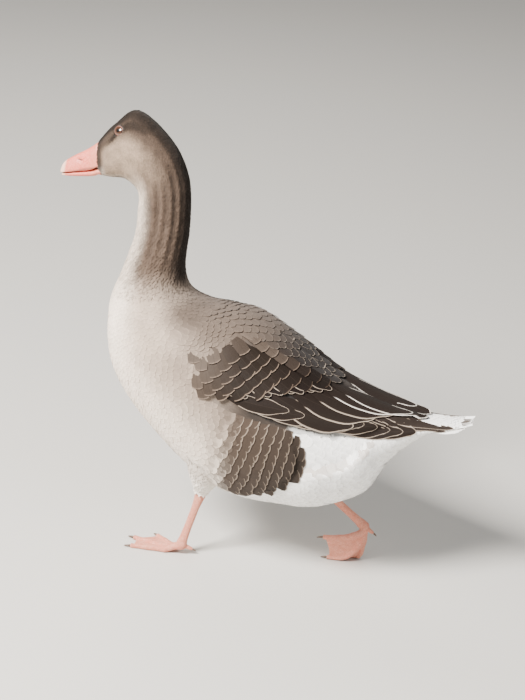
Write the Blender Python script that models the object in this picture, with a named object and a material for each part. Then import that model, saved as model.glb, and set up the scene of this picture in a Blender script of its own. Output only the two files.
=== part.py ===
"""A grey domestic goose, life size, in mid-stride: left foot flat, right foot pushing off its toes.

Metres, +Z up. The goose faces -Y, its left side is +X, and it stands on Z = 0 under its own middle.
The body is one loft from the bill's root to the tail's root, parted into head, neck and trunk. The wings
are shells that lie on that loft, and the wings and thighs are cut back to it. The outer faces are the
outline of the plumage, feather tips included.
"""

import math
from collections import namedtuple

import bmesh
import bpy
from mathutils import Matrix, Vector

# ---------------------------------------------------------------- driving dimensions
GAP = 0.0003                 # between pieces that meet
BODY_SEGMENTS = 28           # points round each body section

Section = namedtuple("Section", "name back front half_width widest")
# Each section lies in the plane through a point on the back and one on the front or belly, both (y, z).
# widest says where its widest line is, from 0 at the belly to 1 at the back.
SECTIONS = [
    Section("bill_root", (-0.2640, 0.6060), (-0.2580, 0.5550), 0.0165, 0.44),
    Section("brow", (-0.2410, 0.6340), (-0.2430, 0.5545), 0.0240, 0.45),
    Section("crown", (-0.2070, 0.6580), (-0.2190, 0.5550), 0.0310, 0.45),
    Section("occiput", (-0.1550, 0.6200), (-0.2000, 0.5400), 0.0325, 0.50),
    Section("nape", (-0.1270, 0.5680), (-0.1990, 0.5120), 0.0330, 0.50),
    Section("mid_neck", (-0.1215, 0.5000), (-0.2015, 0.4760), 0.0355, 0.50),
    Section("neck_root", (-0.1250, 0.4360), (-0.2160, 0.4250), 0.0440, 0.50),
    Section("shoulder", (-0.1140, 0.4000), (-0.2330, 0.3620), 0.0680, 0.50),
    Section("breast", (-0.0810, 0.3870), (-0.2190, 0.2740), 0.0940, 0.50),
    Section("keel", (-0.0210, 0.3830), (-0.1520, 0.1880), 0.1080, 0.50),
    Section("belly", (0.0440, 0.3510), (-0.0440, 0.1100), 0.1110, 0.50),
    Section("thighs", (0.1040, 0.3120), (0.0720, 0.1050), 0.0990, 0.50),
    Section("vent", (0.1640, 0.2880), (0.1660, 0.1430), 0.0740, 0.52),
    Section("rump", (0.2120, 0.2760), (0.2090, 0.2030), 0.0510, 0.56),
    Section("tail_root", (0.2510, 0.2720), (0.2510, 0.2450), 0.0330, 0.56),
]
AT = {section.name: index for index, section in enumerate(SECTIONS)}
HEAD_CUT = AT["occiput"] + 0.35
NECK_CUT = AT["neck_root"] - 0.05
TAIL_CUT = AT["tail_root"]
TRUNK_STEPS, NECK_STEPS, HEAD_STEPS = 26, 9, 10

BillStation = namedtuple("BillStation", "share culmen gape under half_width")
# share is how far along the bill it is, culmen, gape and under are heights.
BILL = [
    BillStation(0.000, 0.6020, 0.5680, 0.5560, 0.0150),
    BillStation(0.100, 0.5975, 0.5650, 0.5530, 0.0146),
    BillStation(0.250, 0.5915, 0.5625, 0.5510, 0.0140),
    BillStation(0.420, 0.5855, 0.5600, 0.5495, 0.0132),
    BillStation(0.600, 0.5795, 0.5575, 0.5480, 0.0124),
    BillStation(0.760, 0.5735, 0.5550, 0.5470, 0.0116),
    BillStation(0.880, 0.5675, 0.5530, 0.5465, 0.0098),
    BillStation(0.955, 0.5620, 0.5515, 0.5460, 0.0072),
    BillStation(1.000, 0.5545, 0.5500, 0.5460, 0.0030),
]
BILL_LENGTH = 0.0560         # root to nail, along Y
BILL_SIDES = 20
BILL_SQUARENESS = 2.2        # 2 is an ellipse
BILL_ROOT_GAP = 0.0023       # along Y, which leaves the usual gap across the slanting face
LOWER_BILL_SHARE = 0.955     # how far the lower bill reaches under the upper one
LOWER_BILL_NARROWING = 0.84
MOUTH_EDGE = 0.0010          # thickness of the rims that meet at the gape
NOSTRIL_Z, NOSTRIL_HALF_LENGTH, NOSTRIL_RADIUS = 0.5745, 0.0045, 0.0012
EYE_RADIUS = 0.0085
EYE_PLACE = AT["brow"] + 0.52
EYE_ANGLE = math.radians(41)     # above the head's widest line
EYE_BULGE = 0.0026

TAIL_LENGTH = 0.0680
TAIL_HALF_WIDTH = 0.0270
TAIL_RISE = 0.0180
TAIL_ROOT_HALF_THICK, TAIL_TIP_HALF_THICK = 0.0118, 0.0013
TAIL_DROOP = 0.0030          # of its side edges
TAIL_STEPS, TAIL_SIDES = 10, 18
TAIL_ROUNDING = 0.60         # where the rounded end starts, as a share of the length

WING_FROM, WING_TO = AT["breast"] + 0.72, AT["tail_root"] - 0.02
WING_THICK, WING_EDGE = 0.0100, 0.0022
WING_ROOT_DEPTH = 0.0040     # how far it is let into the trunk before the trunk is cut from it
WING_STEPS, WING_STRIPS = 16, 6
WING_LOW_ANGLES = (6.0, 22.0, 56.0)      # of its lower edge at the shoulder, half way and at the tip
WING_HIGH_ANGLES = (72.0, 86.0)          # of its upper edge at the shoulder and over the rump

TOES = ("inner", "middle", "outer")
TOE_STEPS, TOE_SIDES = 9, 8
TOE_RADIUS, TOE_TIP_RADIUS = 0.0056, 0.0034
TOE_SINK = 0.80              # a toe's middle is this share of its radius above the floor
TOE_END_FLAT = 0.0120        # the level end of a rolled foot's toes
KNUCKLES = 3
KNUCKLE_SWELL = 0.10
HIND_TOE_LENGTH = 0.0170
HIND_TOE_RADII = (0.0040, 0.0036, 0.0030, 0.0024)
CLAW_LENGTH, CLAW_RADIUS = 0.0100, 0.0020
HIND_CLAW_LENGTH, HIND_CLAW_RADIUS = 0.0060, 0.0016
CLAW_TIP_RADIUS = 0.0004
CLAW_HOOK = 0.0010           # how far its tip bends down
WEB_THICK = 0.0016
WEB_HOLLOW = 0.04            # how far the web's front edge dips between the toes, as a share of them
WEB_REACH = 0.97
SHANK_RADIUS, HOCK_RADIUS = 0.0066, 0.0084
SHANK_WAIST = 0.0008
JOINT_RADIUS, JOINT_LENGTH = 0.0080, 0.0140
LEG_NARROWING = 0.82         # side to side, against front to back
HOCK_LENGTH = 0.0140         # of bare leg above the hock
THIGH_RADIUS, THIGH_CUFF_RADIUS = 0.0385, 0.0115

Leg = namedtuple("Leg", "side toe_joint hock knee toe_tips touch rolled")
# side is +1 on the left. toe_tips are where the toes end and the claws start, at the sole. A toe comes
# down to its tip's height over the touch share of its length. The toes run straight out, or if the foot
# is rolled off the floor, they drop from the joint and curl forward to a flat end.
LEGS = {
    "left": Leg(1, Vector((0.044, -0.0910, 0.0130)), Vector((0.044, -0.0660, 0.1020)),
                Vector((0.062, -0.0520, 0.1780)),
                {"inner": Vector((0.006, -0.1390, 0)), "middle": Vector((0.026, -0.1700, 0)),
                 "outer": Vector((0.054, -0.1660, 0))}, 0.40, False),
    "right": Leg(-1, Vector((-0.038, 0.1690, 0.0600)), Vector((-0.044, 0.1000, 0.1060)),
                 Vector((-0.073, 0.0290, 0.1560)),
                 {"inner": Vector((-0.014, 0.1120, 0.0400)), "middle": Vector((-0.030, 0.1170, 0)),
                  "outer": Vector((-0.052, 0.1470, 0))}, 0.84, True),
}

COLOURS = {
    "plumage": (0.32, 0.26, 0.21),
    "pale_plumage": (0.55, 0.50, 0.45),
    "dark_plumage": (0.12, 0.09, 0.07),
    "bill": (0.74, 0.35, 0.25),
    "leg": (0.76, 0.38, 0.29),
    "claw": (0.20, 0.15, 0.12),
    "eye": (0.03, 0.015, 0.01),
}


# ---------------------------------------------------------------- shared shapes
def clear_scene():
    for old in list(bpy.data.objects):
        bpy.data.objects.remove(old)


def material(name, roughness=0.7):
    found = bpy.data.materials.get(name) or bpy.data.materials.new(name)
    found.use_nodes = True
    shader = found.node_tree.nodes["Principled BSDF"]
    shader.inputs["Base Color"].default_value = (*COLOURS[name], 1.0)
    shader.inputs["Roughness"].default_value = roughness
    shader.inputs["Metallic"].default_value = 0.0
    return found


def collection(name):
    found = bpy.data.collections.new(name)
    bpy.context.scene.collection.children.link(found)
    return found


def place(name, mesh, colour, group):
    """Links a finished mesh as one named piece."""
    paint(mesh, material(colour))
    made = bpy.data.objects.new(name, mesh)
    group.objects.link(made)
    return made


def paint(mesh, finish):
    mesh.materials.clear()
    mesh.materials.append(finish)
    mesh.shade_smooth()


def loft(name, rings):
    """A closed mesh through rings of points, all with the same count, with a flat face on each end."""
    work = bmesh.new()
    loops = [[work.verts.new(point) for point in ring] for ring in rings]
    for near, far in zip(loops, loops[1:]):
        for i in range(len(near)):
            j = (i + 1) % len(near)
            work.faces.new((near[i], near[j], far[j], far[i]))
    work.faces.new(reversed(loops[0]))
    work.faces.new(loops[-1])
    bmesh.ops.recalc_face_normals(work, faces=work.faces)
    bmesh.ops.triangulate(work, faces=work.faces)
    mesh = bpy.data.meshes.new(name)
    work.to_mesh(mesh)
    work.free()
    return mesh


def between(values, place_on):
    """The value at a place on a list, on a smooth curve through all of them."""
    last = len(values) - 1
    start = min(int(place_on), last - 1)
    t = place_on - start
    b, c = values[start], values[start + 1]
    a = values[start - 1] if start > 0 else 2 * b - c
    d = values[start + 2] if start + 2 <= last else 2 * c - b
    linear = c - a
    square = 2 * a - 5 * b + 4 * c - d
    cube = 3 * b - a - 3 * c + d
    return b + 0.5 * (linear * t + square * t ** 2 + cube * t ** 3)


def smooth_step(t):
    t = min(max(t, 0.0), 1.0)
    return t * t * (3 - 2 * t)


def tube(name, path, radii, sides, flatten=1.0):
    """A round bar along a path of points that never runs sideways. flatten is its width over its depth."""
    sideways = Vector((1, 0, 0))
    rings = []
    for i, point in enumerate(path):
        along = (path[min(i + 1, len(path) - 1)] - path[max(i - 1, 0)]).normalized()
        across = (sideways - along * sideways.dot(along)).normalized()
        up = across.cross(along)
        rings.append([point + radii[i] * (flatten * math.cos(a) * across + math.sin(a) * up)
                      for a in (2 * math.pi * k / sides for k in range(sides))])
    return loft(name, rings)


# ---------------------------------------------------------------- the body loft
def section_at(place_on):
    """(back point, widest point, front point, half width) at a place along the sections."""
    def value(read):
        return between([read(section) for section in SECTIONS], place_on)

    back = Vector((0, value(lambda s: s.back[0]), value(lambda s: s.back[1])))
    front = Vector((0, value(lambda s: s.front[0]), value(lambda s: s.front[1])))
    middle = front.lerp(back, value(lambda s: s.widest))
    return back, middle, front, value(lambda s: s.half_width)


def body_point(place_on, angle, out=0.0):
    """A point on the body, out metres proud of it. The angle is from the left widest line, upwards."""
    back, middle, front, half_width = section_at(place_on)
    rise = (back - middle) if math.sin(angle) >= 0 else (middle - front)
    share = 1 + out / rise.length
    return middle + rise * share * math.sin(angle) + Vector(((half_width + out) * math.cos(angle), 0, 0))


def body_ring(place_on, out=0.0, shift=0.0):
    """One section's points. shift moves the section towards the tail, along its own normal."""
    back, _, front, _ = section_at(place_on)
    towards_tail = (back - front).cross(Vector((1, 0, 0))).normalized()
    return [body_point(place_on, 2 * math.pi * k / BODY_SEGMENTS, out) + towards_tail * shift
            for k in range(BODY_SEGMENTS)]


def trunk_and_gap():
    """The trunk's solid, a gap larger, to cut back what lies on it."""
    return body_length("trunk_cutter", NECK_CUT, TAIL_CUT, TRUNK_STEPS, out=GAP, gap=0.0)


def body_length(name, start, end, count, out=0.0, gap=GAP):
    """The loft from one place to another, with half a gap left at each end."""
    places = [start + (end - start) * k / count for k in range(count + 1)]
    shifts = [gap / 2] + [0.0] * (count - 1) + [-gap / 2]
    return loft(name, [body_ring(p, out, s) for p, s in zip(places, shifts)])


def cut_away(target, cutter_mesh, helpers):
    """Subtracts a mesh from a piece and keeps the result."""
    cutter = bpy.data.objects.new(target.name + "_cutter", cutter_mesh)
    cutter.hide_render = True
    cutter.display_type = "WIRE"
    helpers.objects.link(cutter)
    combine(target, cutter, "DIFFERENCE")


def combine(target, other, operation, solver="EXACT"):
    """Applies one Boolean to a piece, which keeps its own material."""
    finish = target.data.materials[0]
    step = target.modifiers.new(operation.lower(), "BOOLEAN")
    step.operation = operation
    step.solver = solver
    step.object = other
    bpy.context.view_layer.update()
    graph = bpy.context.evaluated_depsgraph_get()
    result = bpy.data.meshes.new_from_object(target.evaluated_get(graph))
    target.modifiers.remove(step)
    target.data = result
    paint(result, finish)


def union_of(name, meshes, colour, parts):
    """One solid from overlapping closed meshes."""
    whole = place(name, meshes[0], colour, parts)
    for mesh in meshes[1:]:
        other = bpy.data.objects.new(name + "_joined", mesh)
        parts.objects.link(other)
        combine(whole, other, "UNION", "MANIFOLD")
        bpy.data.objects.remove(other)
    return whole


# ---------------------------------------------------------------- body, head and face
def sphere(name, centre, radius, segments=16):
    """A ball whose poles are at its left and right."""
    work = bmesh.new()
    bmesh.ops.create_uvsphere(work, u_segments=segments, v_segments=segments // 2, radius=radius)
    bmesh.ops.rotate(work, verts=work.verts, matrix=Matrix.Rotation(math.pi / 2, 3, "Y"))
    bmesh.ops.translate(work, verts=work.verts, vec=centre)
    mesh = bpy.data.meshes.new(name)
    work.to_mesh(mesh)
    work.free()
    return mesh


def eye_centre(side):
    """The eyeball sits in the head, standing a little proud of the cheek."""
    depth = EYE_RADIUS - EYE_BULGE
    on_skin = body_point(EYE_PLACE, EYE_ANGLE)
    inwards = (body_point(EYE_PLACE, EYE_ANGLE, -depth) - on_skin).normalized()
    centre = on_skin + inwards * depth
    return Vector((side * centre.x, centre.y, centre.z))


def add_trunk_neck_head(parts, helpers):
    place("trunk", body_length("trunk", NECK_CUT, TAIL_CUT, TRUNK_STEPS), "plumage", parts)
    place("neck", body_length("neck", HEAD_CUT, NECK_CUT, NECK_STEPS), "plumage", parts)
    head = place("head", body_length("head", 0, HEAD_CUT, HEAD_STEPS), "plumage", parts)
    for label, side in (("left", 1), ("right", -1)):
        cut_away(head, sphere("socket", eye_centre(side), EYE_RADIUS + GAP), helpers)
        place("eye_" + label, sphere("eye", eye_centre(side), EYE_RADIUS), "eye", parts)


def bill_ring(share, top, edge, under, half_width):
    """One bill section, widest at its edge. At the root, where share is 0, it slants as the face does."""
    root = SECTIONS[0]
    face_y = (root.back[0] + root.front[0]) / 2
    face_slant = (root.back[0] - root.front[0]) / (root.back[1] - root.front[1])
    face_middle_z = (root.back[1] + root.front[1]) / 2
    ring = []
    for k in range(BILL_SIDES):
        angle = 2 * math.pi * k / BILL_SIDES
        rise = (top - edge) if math.sin(angle) >= 0 else (edge - under)
        sine = math.copysign(abs(math.sin(angle)) ** (2 / BILL_SQUARENESS), math.sin(angle))
        cosine = math.copysign(abs(math.cos(angle)) ** (2 / BILL_SQUARENESS), math.cos(angle))
        z = edge + rise * sine
        slant = (1 - share) * face_slant * (z - face_middle_z)
        y = face_y + slant - BILL_ROOT_GAP - BILL_LENGTH * share
        ring.append(Vector((half_width * cosine, y, z)))
    return ring


def add_bill(parts, helpers):
    """The upper and lower bill, with a slot through the upper one for the nostrils."""
    upper, lower = [], []
    for at in BILL:
        rim = at.gape - MOUTH_EDGE
        upper.append(bill_ring(at.share, at.culmen, at.gape, rim, at.half_width))
        lower.append(bill_ring(at.share * LOWER_BILL_SHARE, rim - GAP, rim - GAP - MOUTH_EDGE, at.under,
                               at.half_width * LOWER_BILL_NARROWING))
    bill = place("bill_upper", loft("bill_upper", upper), "bill", parts)
    place("bill_lower", loft("bill_lower", lower), "bill", parts)
    middle = Vector((0, upper[3][0].y + 0.0030, NOSTRIL_Z))
    half = Vector((0, NOSTRIL_HALF_LENGTH, NOSTRIL_HALF_LENGTH * 0.4))
    through = BILL[0].half_width / NOSTRIL_RADIUS
    slot = tube("nostril", [middle + half, middle - half], [NOSTRIL_RADIUS] * 2, 8, through)
    cut_away(bill, slot, helpers)


def add_tail(parts):
    """A rounded fan of flat feathers, thick at the root and thin at the tip."""
    root = SECTIONS[-1]
    root_z = (root.back[1] + root.front[1]) / 2
    rings = []
    for k in range(TAIL_STEPS + 1):
        share = k / TAIL_STEPS
        spread = root.half_width + (TAIL_HALF_WIDTH - root.half_width) * smooth_step(share * 1.6)
        past = max(0.0, share - TAIL_ROUNDING) / (1.02 - TAIL_ROUNDING)
        half_width = spread * (0.25 + 0.75 * math.sqrt(1 - past * past))
        half_thick = TAIL_TIP_HALF_THICK
        half_thick += (TAIL_ROOT_HALF_THICK - TAIL_TIP_HALF_THICK) * (1 - share) ** 1.3
        y = root.back[0] + GAP + TAIL_LENGTH * share
        z = root_z + TAIL_RISE * share ** 1.2
        ring = []
        for i in range(TAIL_SIDES):
            angle = 2 * math.pi * i / TAIL_SIDES
            droop = TAIL_DROOP * share * math.cos(angle) ** 2
            ring.append(Vector((half_width * math.cos(angle), y, z + half_thick * math.sin(angle) - droop)))
        rings.append(ring)
    place("tail", loft("tail", rings), "pale_plumage", parts)


# ---------------------------------------------------------------- wings
def wing_outline(share):
    """(lowest angle, highest angle) in degrees at a share of the folded wing's length."""
    front = math.sqrt(1 - (1 - min(share / 0.16, 1.0)) ** 2)
    shoulder, half_way, at_tip = WING_LOW_ANGLES
    low = shoulder + (half_way - shoulder) * smooth_step(share / 0.5)
    low += (at_tip - half_way) * smooth_step((share - 0.5) / 0.5)
    high = WING_HIGH_ANGLES[0] + (WING_HIGH_ANGLES[1] - WING_HIGH_ANGLES[0]) * smooth_step(share * 1.3)
    middle = low + 0.52 * (high - low)
    tip = 0.10 + 0.90 * smooth_step((1.0 - share) / 0.13)
    reach = (0.12 + 0.88 * front) * tip
    return middle + (low - middle) * reach, middle + (high - middle) * reach


def add_wing(label, side, parts, helpers):
    """The folded wing: a shell on the body, thickest along its lower half."""
    rings = []
    for i in range(WING_STEPS + 1):
        share = i / WING_STEPS
        low, high = wing_outline(share)
        place_on = WING_FROM + (WING_TO - WING_FROM) * share
        crown = smooth_step(share / 0.10) * (0.45 + 0.55 * smooth_step((1 - share) / 0.5))
        outer, inner = [], []
        for j in range(WING_STRIPS + 1):
            edge = 2 * j / WING_STRIPS - 1
            angle = math.radians(low + (high - low) * j / WING_STRIPS)
            bulge = crown * (1 - edge ** 4) * (0.65 - 0.35 * edge)
            thick = WING_EDGE + (WING_THICK - WING_EDGE) * bulge
            outer.append(body_point(place_on, angle, GAP + thick))
            inner.append(body_point(place_on, angle, -WING_ROOT_DEPTH))
        rings.append([Vector((side * p.x, p.y, p.z)) for p in outer + inner[::-1]])
    wing = place("wing_" + label, loft("wing", rings), "dark_plumage", parts)
    cut_away(wing, trunk_and_gap(), helpers)


# ---------------------------------------------------------------- legs and feet
def toe_line(leg, toe):
    """Points along one toe, evenly spaced, from the joint down to the floor and on to its tip."""
    fine = 60
    tip = leg.toe_tips[toe] + Vector((0, 0, TOE_SINK * TOE_TIP_RADIUS))
    flat_share = TOE_END_FLAT / abs(tip.y - leg.toe_joint.y)
    rough = []
    for k in range(fine + 1):
        t = k / fine
        turn = math.pi / 2 * min(t / leg.touch, 1.0)
        if leg.rolled:
            down = math.sin(turn)
            curl = (1 - flat_share) * (1 - math.cos(turn))
            run = curl if t < leg.touch else 1 - flat_share * (1 - t) / (1 - leg.touch)
        else:
            down = smooth_step(t / leg.touch)
            run = t
        point = leg.toe_joint.lerp(tip, t)
        point.y = leg.toe_joint.y + (tip.y - leg.toe_joint.y) * run
        point.z = leg.toe_joint.z + (tip.z - leg.toe_joint.z) * down
        if leg.toe_tips[toe].z == 0:
            point.z = max(point.z, TOE_SINK * (TOE_RADIUS + (TOE_TIP_RADIUS - TOE_RADIUS) * t))
        rough.append(point)
    return evenly(rough, TOE_STEPS)


def evenly(path, count):
    """The same path as count equal steps."""
    run = [0.0]
    for near, far in zip(path, path[1:]):
        run.append(run[-1] + (far - near).length)
    points, at = [path[0]], 0
    for k in range(1, count):
        target = run[-1] * k / count
        while run[at + 1] < target:
            at += 1
        points.append(path[at].lerp(path[at + 1], (target - run[at]) / (run[at + 1] - run[at])))
    return points + [path[-1]]


def toe_radii():
    """Thick at the knuckles, thin between them, tapering to the claw."""
    radii = []
    for k in range(TOE_STEPS + 1):
        t = k / TOE_STEPS
        swell = 1 + KNUCKLE_SWELL * math.cos(2 * math.pi * KNUCKLES * t)
        radii.append((TOE_RADIUS + (TOE_TIP_RADIUS - TOE_RADIUS) * t) * swell)
    return radii


def web_between(first, second):
    """The web's sheet from one toe to the next, with a hollow front edge."""
    across, along = 5, 6
    rings = []
    last = len(first) - 1
    for k in range(1, along + 1):
        top, bottom = [], []
        for j in range(across + 1):
            t = j / across
            hollow = 1 - WEB_HOLLOW * 4 * t * (1 - t) * (k / along) ** 1.5
            reach = WEB_REACH * last * k / along * hollow
            lower = int(reach)
            a = first[lower].lerp(first[min(lower + 1, last)], reach - lower)
            b = second[lower].lerp(second[min(lower + 1, last)], reach - lower)
            point = a.lerp(b, t)
            forward = first[lower + 1] - first[lower] + second[lower + 1] - second[lower]
            out = (b - a).cross(forward).normalized() * WEB_THICK / 2
            top.append(point + out)
            bottom.append(point - out)
        rings.append(top + bottom[::-1])
    return loft("web", rings)


def claw_along(tip, forward, length=CLAW_LENGTH, radius=CLAW_RADIUS):
    """A blunt hooked nail from a toe's tip."""
    steps = 4
    path, radii = [], []
    for k in range(steps + 1):
        t = k / steps
        path.append(tip + forward * (GAP + length * t) - Vector((0, 0, CLAW_HOOK * t * t)))
        radii.append(radius * (1 - t) ** 0.6 + CLAW_TIP_RADIUS)
    return tube("claw", path, radii, 7)


def add_foot(label, leg, parts):
    """Three webbed toes, the small hind toe, and the joint that the shank stands on."""
    lines = {toe: toe_line(leg, toe) for toe in TOES}
    meshes = [tube(toe, lines[toe], toe_radii(), TOE_SIDES) for toe in TOES]
    meshes.append(web_between(lines["inner"], lines["middle"]))
    meshes.append(web_between(lines["middle"], lines["outer"]))
    up = (leg.hock - leg.toe_joint).normalized()
    ankle = [leg.toe_joint + up * rise for rise in (-0.004, 0.0, 0.006, JOINT_LENGTH)]
    meshes.append(tube("ankle", ankle, [0.0055, JOINT_RADIUS, JOINT_RADIUS, SHANK_RADIUS], 14, LEG_NARROWING))
    back = Vector((-leg.side * 0.25, 1.0, 0)).normalized()
    fall = min(0.0075, leg.toe_joint.z * 0.5)
    slope = back * HIND_TOE_LENGTH - Vector((0, 0, fall))
    hind = [leg.toe_joint + up * 0.003 + slope * t for t in (0.0, 0.35, 0.7, 1.0)]
    meshes.append(tube("hind_toe", hind, HIND_TOE_RADII, TOE_SIDES))
    level_sole(union_of("foot_" + label, meshes, "leg", parts))
    for toe, line in lines.items():
        forward = line[-1] - line[-2]
        forward.z = 0
        place(f"claw_{label}_{toe}", claw_along(line[-1], forward.normalized()), "claw", parts)
    hind_claw = claw_along(hind[-1], slope.normalized(), HIND_CLAW_LENGTH, HIND_CLAW_RADIUS)
    place(f"claw_{label}_hind", hind_claw, "claw", parts)


def level_sole(foot):
    """Cuts the toes' under sides flat on the floor."""
    work = bmesh.new()
    work.from_mesh(foot.data)
    geometry = work.verts[:] + work.edges[:] + work.faces[:]
    cut = bmesh.ops.bisect_plane(work, geom=geometry, dist=1e-6, plane_co=(0, 0, 0), plane_no=(0, 0, 1),
                                 clear_inner=True)
    rim = [item for item in cut["geom_cut"] if isinstance(item, bmesh.types.BMEdge)]
    bmesh.ops.holes_fill(work, edges=rim, sides=0)
    bmesh.ops.triangulate(work, faces=work.faces)
    work.to_mesh(foot.data)
    work.free()


def add_shank(label, leg, parts):
    """The bare scaly leg, from the foot to just above the hock."""
    up = (leg.hock - leg.toe_joint).normalized()
    above = (leg.knee - leg.hock).normalized()
    start = leg.toe_joint + up * (JOINT_LENGTH + GAP)
    straight = (leg.hock - start).length
    steps = 9
    path, radii = [], []
    for k in range(steps):
        t = k / steps
        path.append(start + up * straight * t)
        swell = (HOCK_RADIUS - SHANK_RADIUS) * smooth_step((t - 0.68) / 0.32)
        radii.append(SHANK_RADIUS - SHANK_WAIST * smooth_step(t * 4) + swell)
    for rise, radius in ((0.0, HOCK_RADIUS), (0.6, SHANK_RADIUS + 0.0006), (1.0, SHANK_RADIUS)):
        path.append(leg.hock + above * HOCK_LENGTH * rise)
        radii.append(radius)
    place("shank_" + label, tube("shank", path, radii, 10, LEG_NARROWING), "leg", parts)


def add_thigh(label, leg, parts, helpers):
    """The feathered drumstick, where it shows below the belly."""
    above = (leg.knee - leg.hock).normalized()
    start = leg.hock + above * (HOCK_LENGTH + GAP)
    length = (leg.knee - start).length
    steps = 7
    path, radii = [], []
    for k in range(steps + 1):
        t = k / steps
        path.append(start + above * length * t)
        radii.append(THIGH_CUFF_RADIUS + (THIGH_RADIUS - THIGH_CUFF_RADIUS) * t ** 0.8)
    thigh = place("thigh_" + label, tube("thigh", path, radii, 18, LEG_NARROWING), "plumage", parts)
    cut_away(thigh, trunk_and_gap(), helpers)


def build():
    clear_scene()
    parts = collection("goose")
    helpers = collection("cutters")
    add_trunk_neck_head(parts, helpers)
    add_bill(parts, helpers)
    add_tail(parts)
    for label, side in (("left", 1), ("right", -1)):
        add_wing(label, side, parts, helpers)
    for label, leg in LEGS.items():
        add_foot(label, leg, parts)
        add_shank(label, leg, parts)
        add_thigh(label, leg, parts, helpers)


build()
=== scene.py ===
"""A grey domestic goose in mid-stride, life size: skin, eyes, bill, legs, and every feather of its coat.

Metres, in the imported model's frame. The goose faces -Y, its left side is +X, and the floor is Z = 0.
"""

import math
from types import SimpleNamespace

import bmesh
import bpy
import numpy as np
from mathutils import Matrix, Vector
from mathutils.kdtree import KDTree


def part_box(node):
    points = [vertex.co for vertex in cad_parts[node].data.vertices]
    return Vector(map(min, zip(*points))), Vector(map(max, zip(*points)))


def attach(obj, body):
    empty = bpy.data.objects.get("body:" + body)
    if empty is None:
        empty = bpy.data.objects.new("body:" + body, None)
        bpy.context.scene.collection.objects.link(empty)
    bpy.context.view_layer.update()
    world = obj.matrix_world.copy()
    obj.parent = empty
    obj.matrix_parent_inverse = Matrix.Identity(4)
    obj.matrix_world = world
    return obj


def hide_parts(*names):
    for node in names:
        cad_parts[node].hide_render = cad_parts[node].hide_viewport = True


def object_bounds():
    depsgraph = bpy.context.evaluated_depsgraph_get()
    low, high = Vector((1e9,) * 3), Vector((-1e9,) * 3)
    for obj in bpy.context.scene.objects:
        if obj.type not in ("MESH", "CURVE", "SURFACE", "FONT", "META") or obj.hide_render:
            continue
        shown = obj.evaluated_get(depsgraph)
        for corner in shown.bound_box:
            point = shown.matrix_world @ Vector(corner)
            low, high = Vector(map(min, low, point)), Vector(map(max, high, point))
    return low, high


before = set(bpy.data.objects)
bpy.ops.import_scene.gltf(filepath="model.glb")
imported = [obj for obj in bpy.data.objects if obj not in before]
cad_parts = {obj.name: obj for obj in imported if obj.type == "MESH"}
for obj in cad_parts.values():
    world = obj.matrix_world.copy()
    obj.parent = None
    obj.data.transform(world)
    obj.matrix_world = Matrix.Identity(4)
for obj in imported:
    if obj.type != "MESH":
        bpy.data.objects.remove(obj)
cad_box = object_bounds()


# ---------------------------------------------------------------- the bird's form
# The outline of the plumage is one smooth loft from the bill's root to the tail's end. Feathers are
# laid on it, and places on the skin are read back from it, so both follow the same lines.

# Each section: back (y, z), front or belly (y, z), half width, and where it is widest, from 0 at the belly.
SECTIONS = {
    "bill_root": (-0.2640, 0.6060, -0.2580, 0.5550, 0.0165, 0.44),
    "brow": (-0.2410, 0.6340, -0.2430, 0.5545, 0.0240, 0.45),
    "crown": (-0.2070, 0.6580, -0.2190, 0.5550, 0.0310, 0.45),
    "occiput": (-0.1550, 0.6200, -0.2000, 0.5400, 0.0325, 0.50),
    "nape": (-0.1270, 0.5680, -0.1990, 0.5120, 0.0330, 0.50),
    "mid_neck": (-0.1215, 0.5000, -0.2015, 0.4760, 0.0355, 0.50),
    "neck_root": (-0.1250, 0.4360, -0.2160, 0.4250, 0.0440, 0.50),
    "shoulder": (-0.1140, 0.4000, -0.2330, 0.3620, 0.0680, 0.50),
    "breast": (-0.0810, 0.3870, -0.2190, 0.2740, 0.0940, 0.50),
    "keel": (-0.0210, 0.3830, -0.1520, 0.1880, 0.1080, 0.50),
    "belly": (0.0440, 0.3510, -0.0440, 0.1100, 0.1110, 0.50),
    "thighs": (0.1040, 0.3120, 0.0720, 0.1050, 0.0990, 0.50),
    "vent": (0.1640, 0.2880, 0.1660, 0.1430, 0.0740, 0.52),
    "rump": (0.2120, 0.2760, 0.2090, 0.2030, 0.0510, 0.56),
    "tail_root": (0.2510, 0.2720, 0.2510, 0.2450, 0.0330, 0.56),
    "tail_middle": (0.2850, 0.2719, 0.2850, 0.2607, 0.0280, 0.50),
    "tail_end": (0.3185, 0.2779, 0.3185, 0.2752, 0.0200, 0.50),
}
AT = {name: index for index, name in enumerate(SECTIONS)}
SECTION_VALUES = np.array(list(SECTIONS.values()))
WING_FROM, WING_TO = AT["breast"] + 0.72, AT["tail_root"] - 0.02
WING_LOW_ANGLES = (6.0, 22.0, 56.0)
WING_HIGH_ANGLES = (72.0, 86.0)


def ease(low, high, value):
    """0 below low, 1 above high, and a smooth rise between them."""
    t = np.clip((value - low) / (high - low), 0.0, 1.0)
    return t * t * (3 - 2 * t)


def hump(low, high, soft, value):
    """1 between low and high, falling smoothly to 0 over soft on both sides."""
    return ease(low - soft, low + soft, value) * (1 - ease(high - soft, high + soft, value))


def between(values, place):
    """Values on a smooth curve through the rows of a list, at places along it."""
    padded = np.vstack([2 * values[0] - values[1], values, 2 * values[-1] - values[-2]])
    start = np.clip(np.floor(place).astype(int), 0, len(values) - 2)
    t = (place - start)[..., None]
    a, b, c, d = (padded[start + k] for k in range(4))
    bend = 2 * a - 5 * b + 4 * c - d
    twist = 3 * b - a - 3 * c + d
    return b + 0.5 * ((c - a) * t + bend * t ** 2 + twist * t ** 3)


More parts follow.
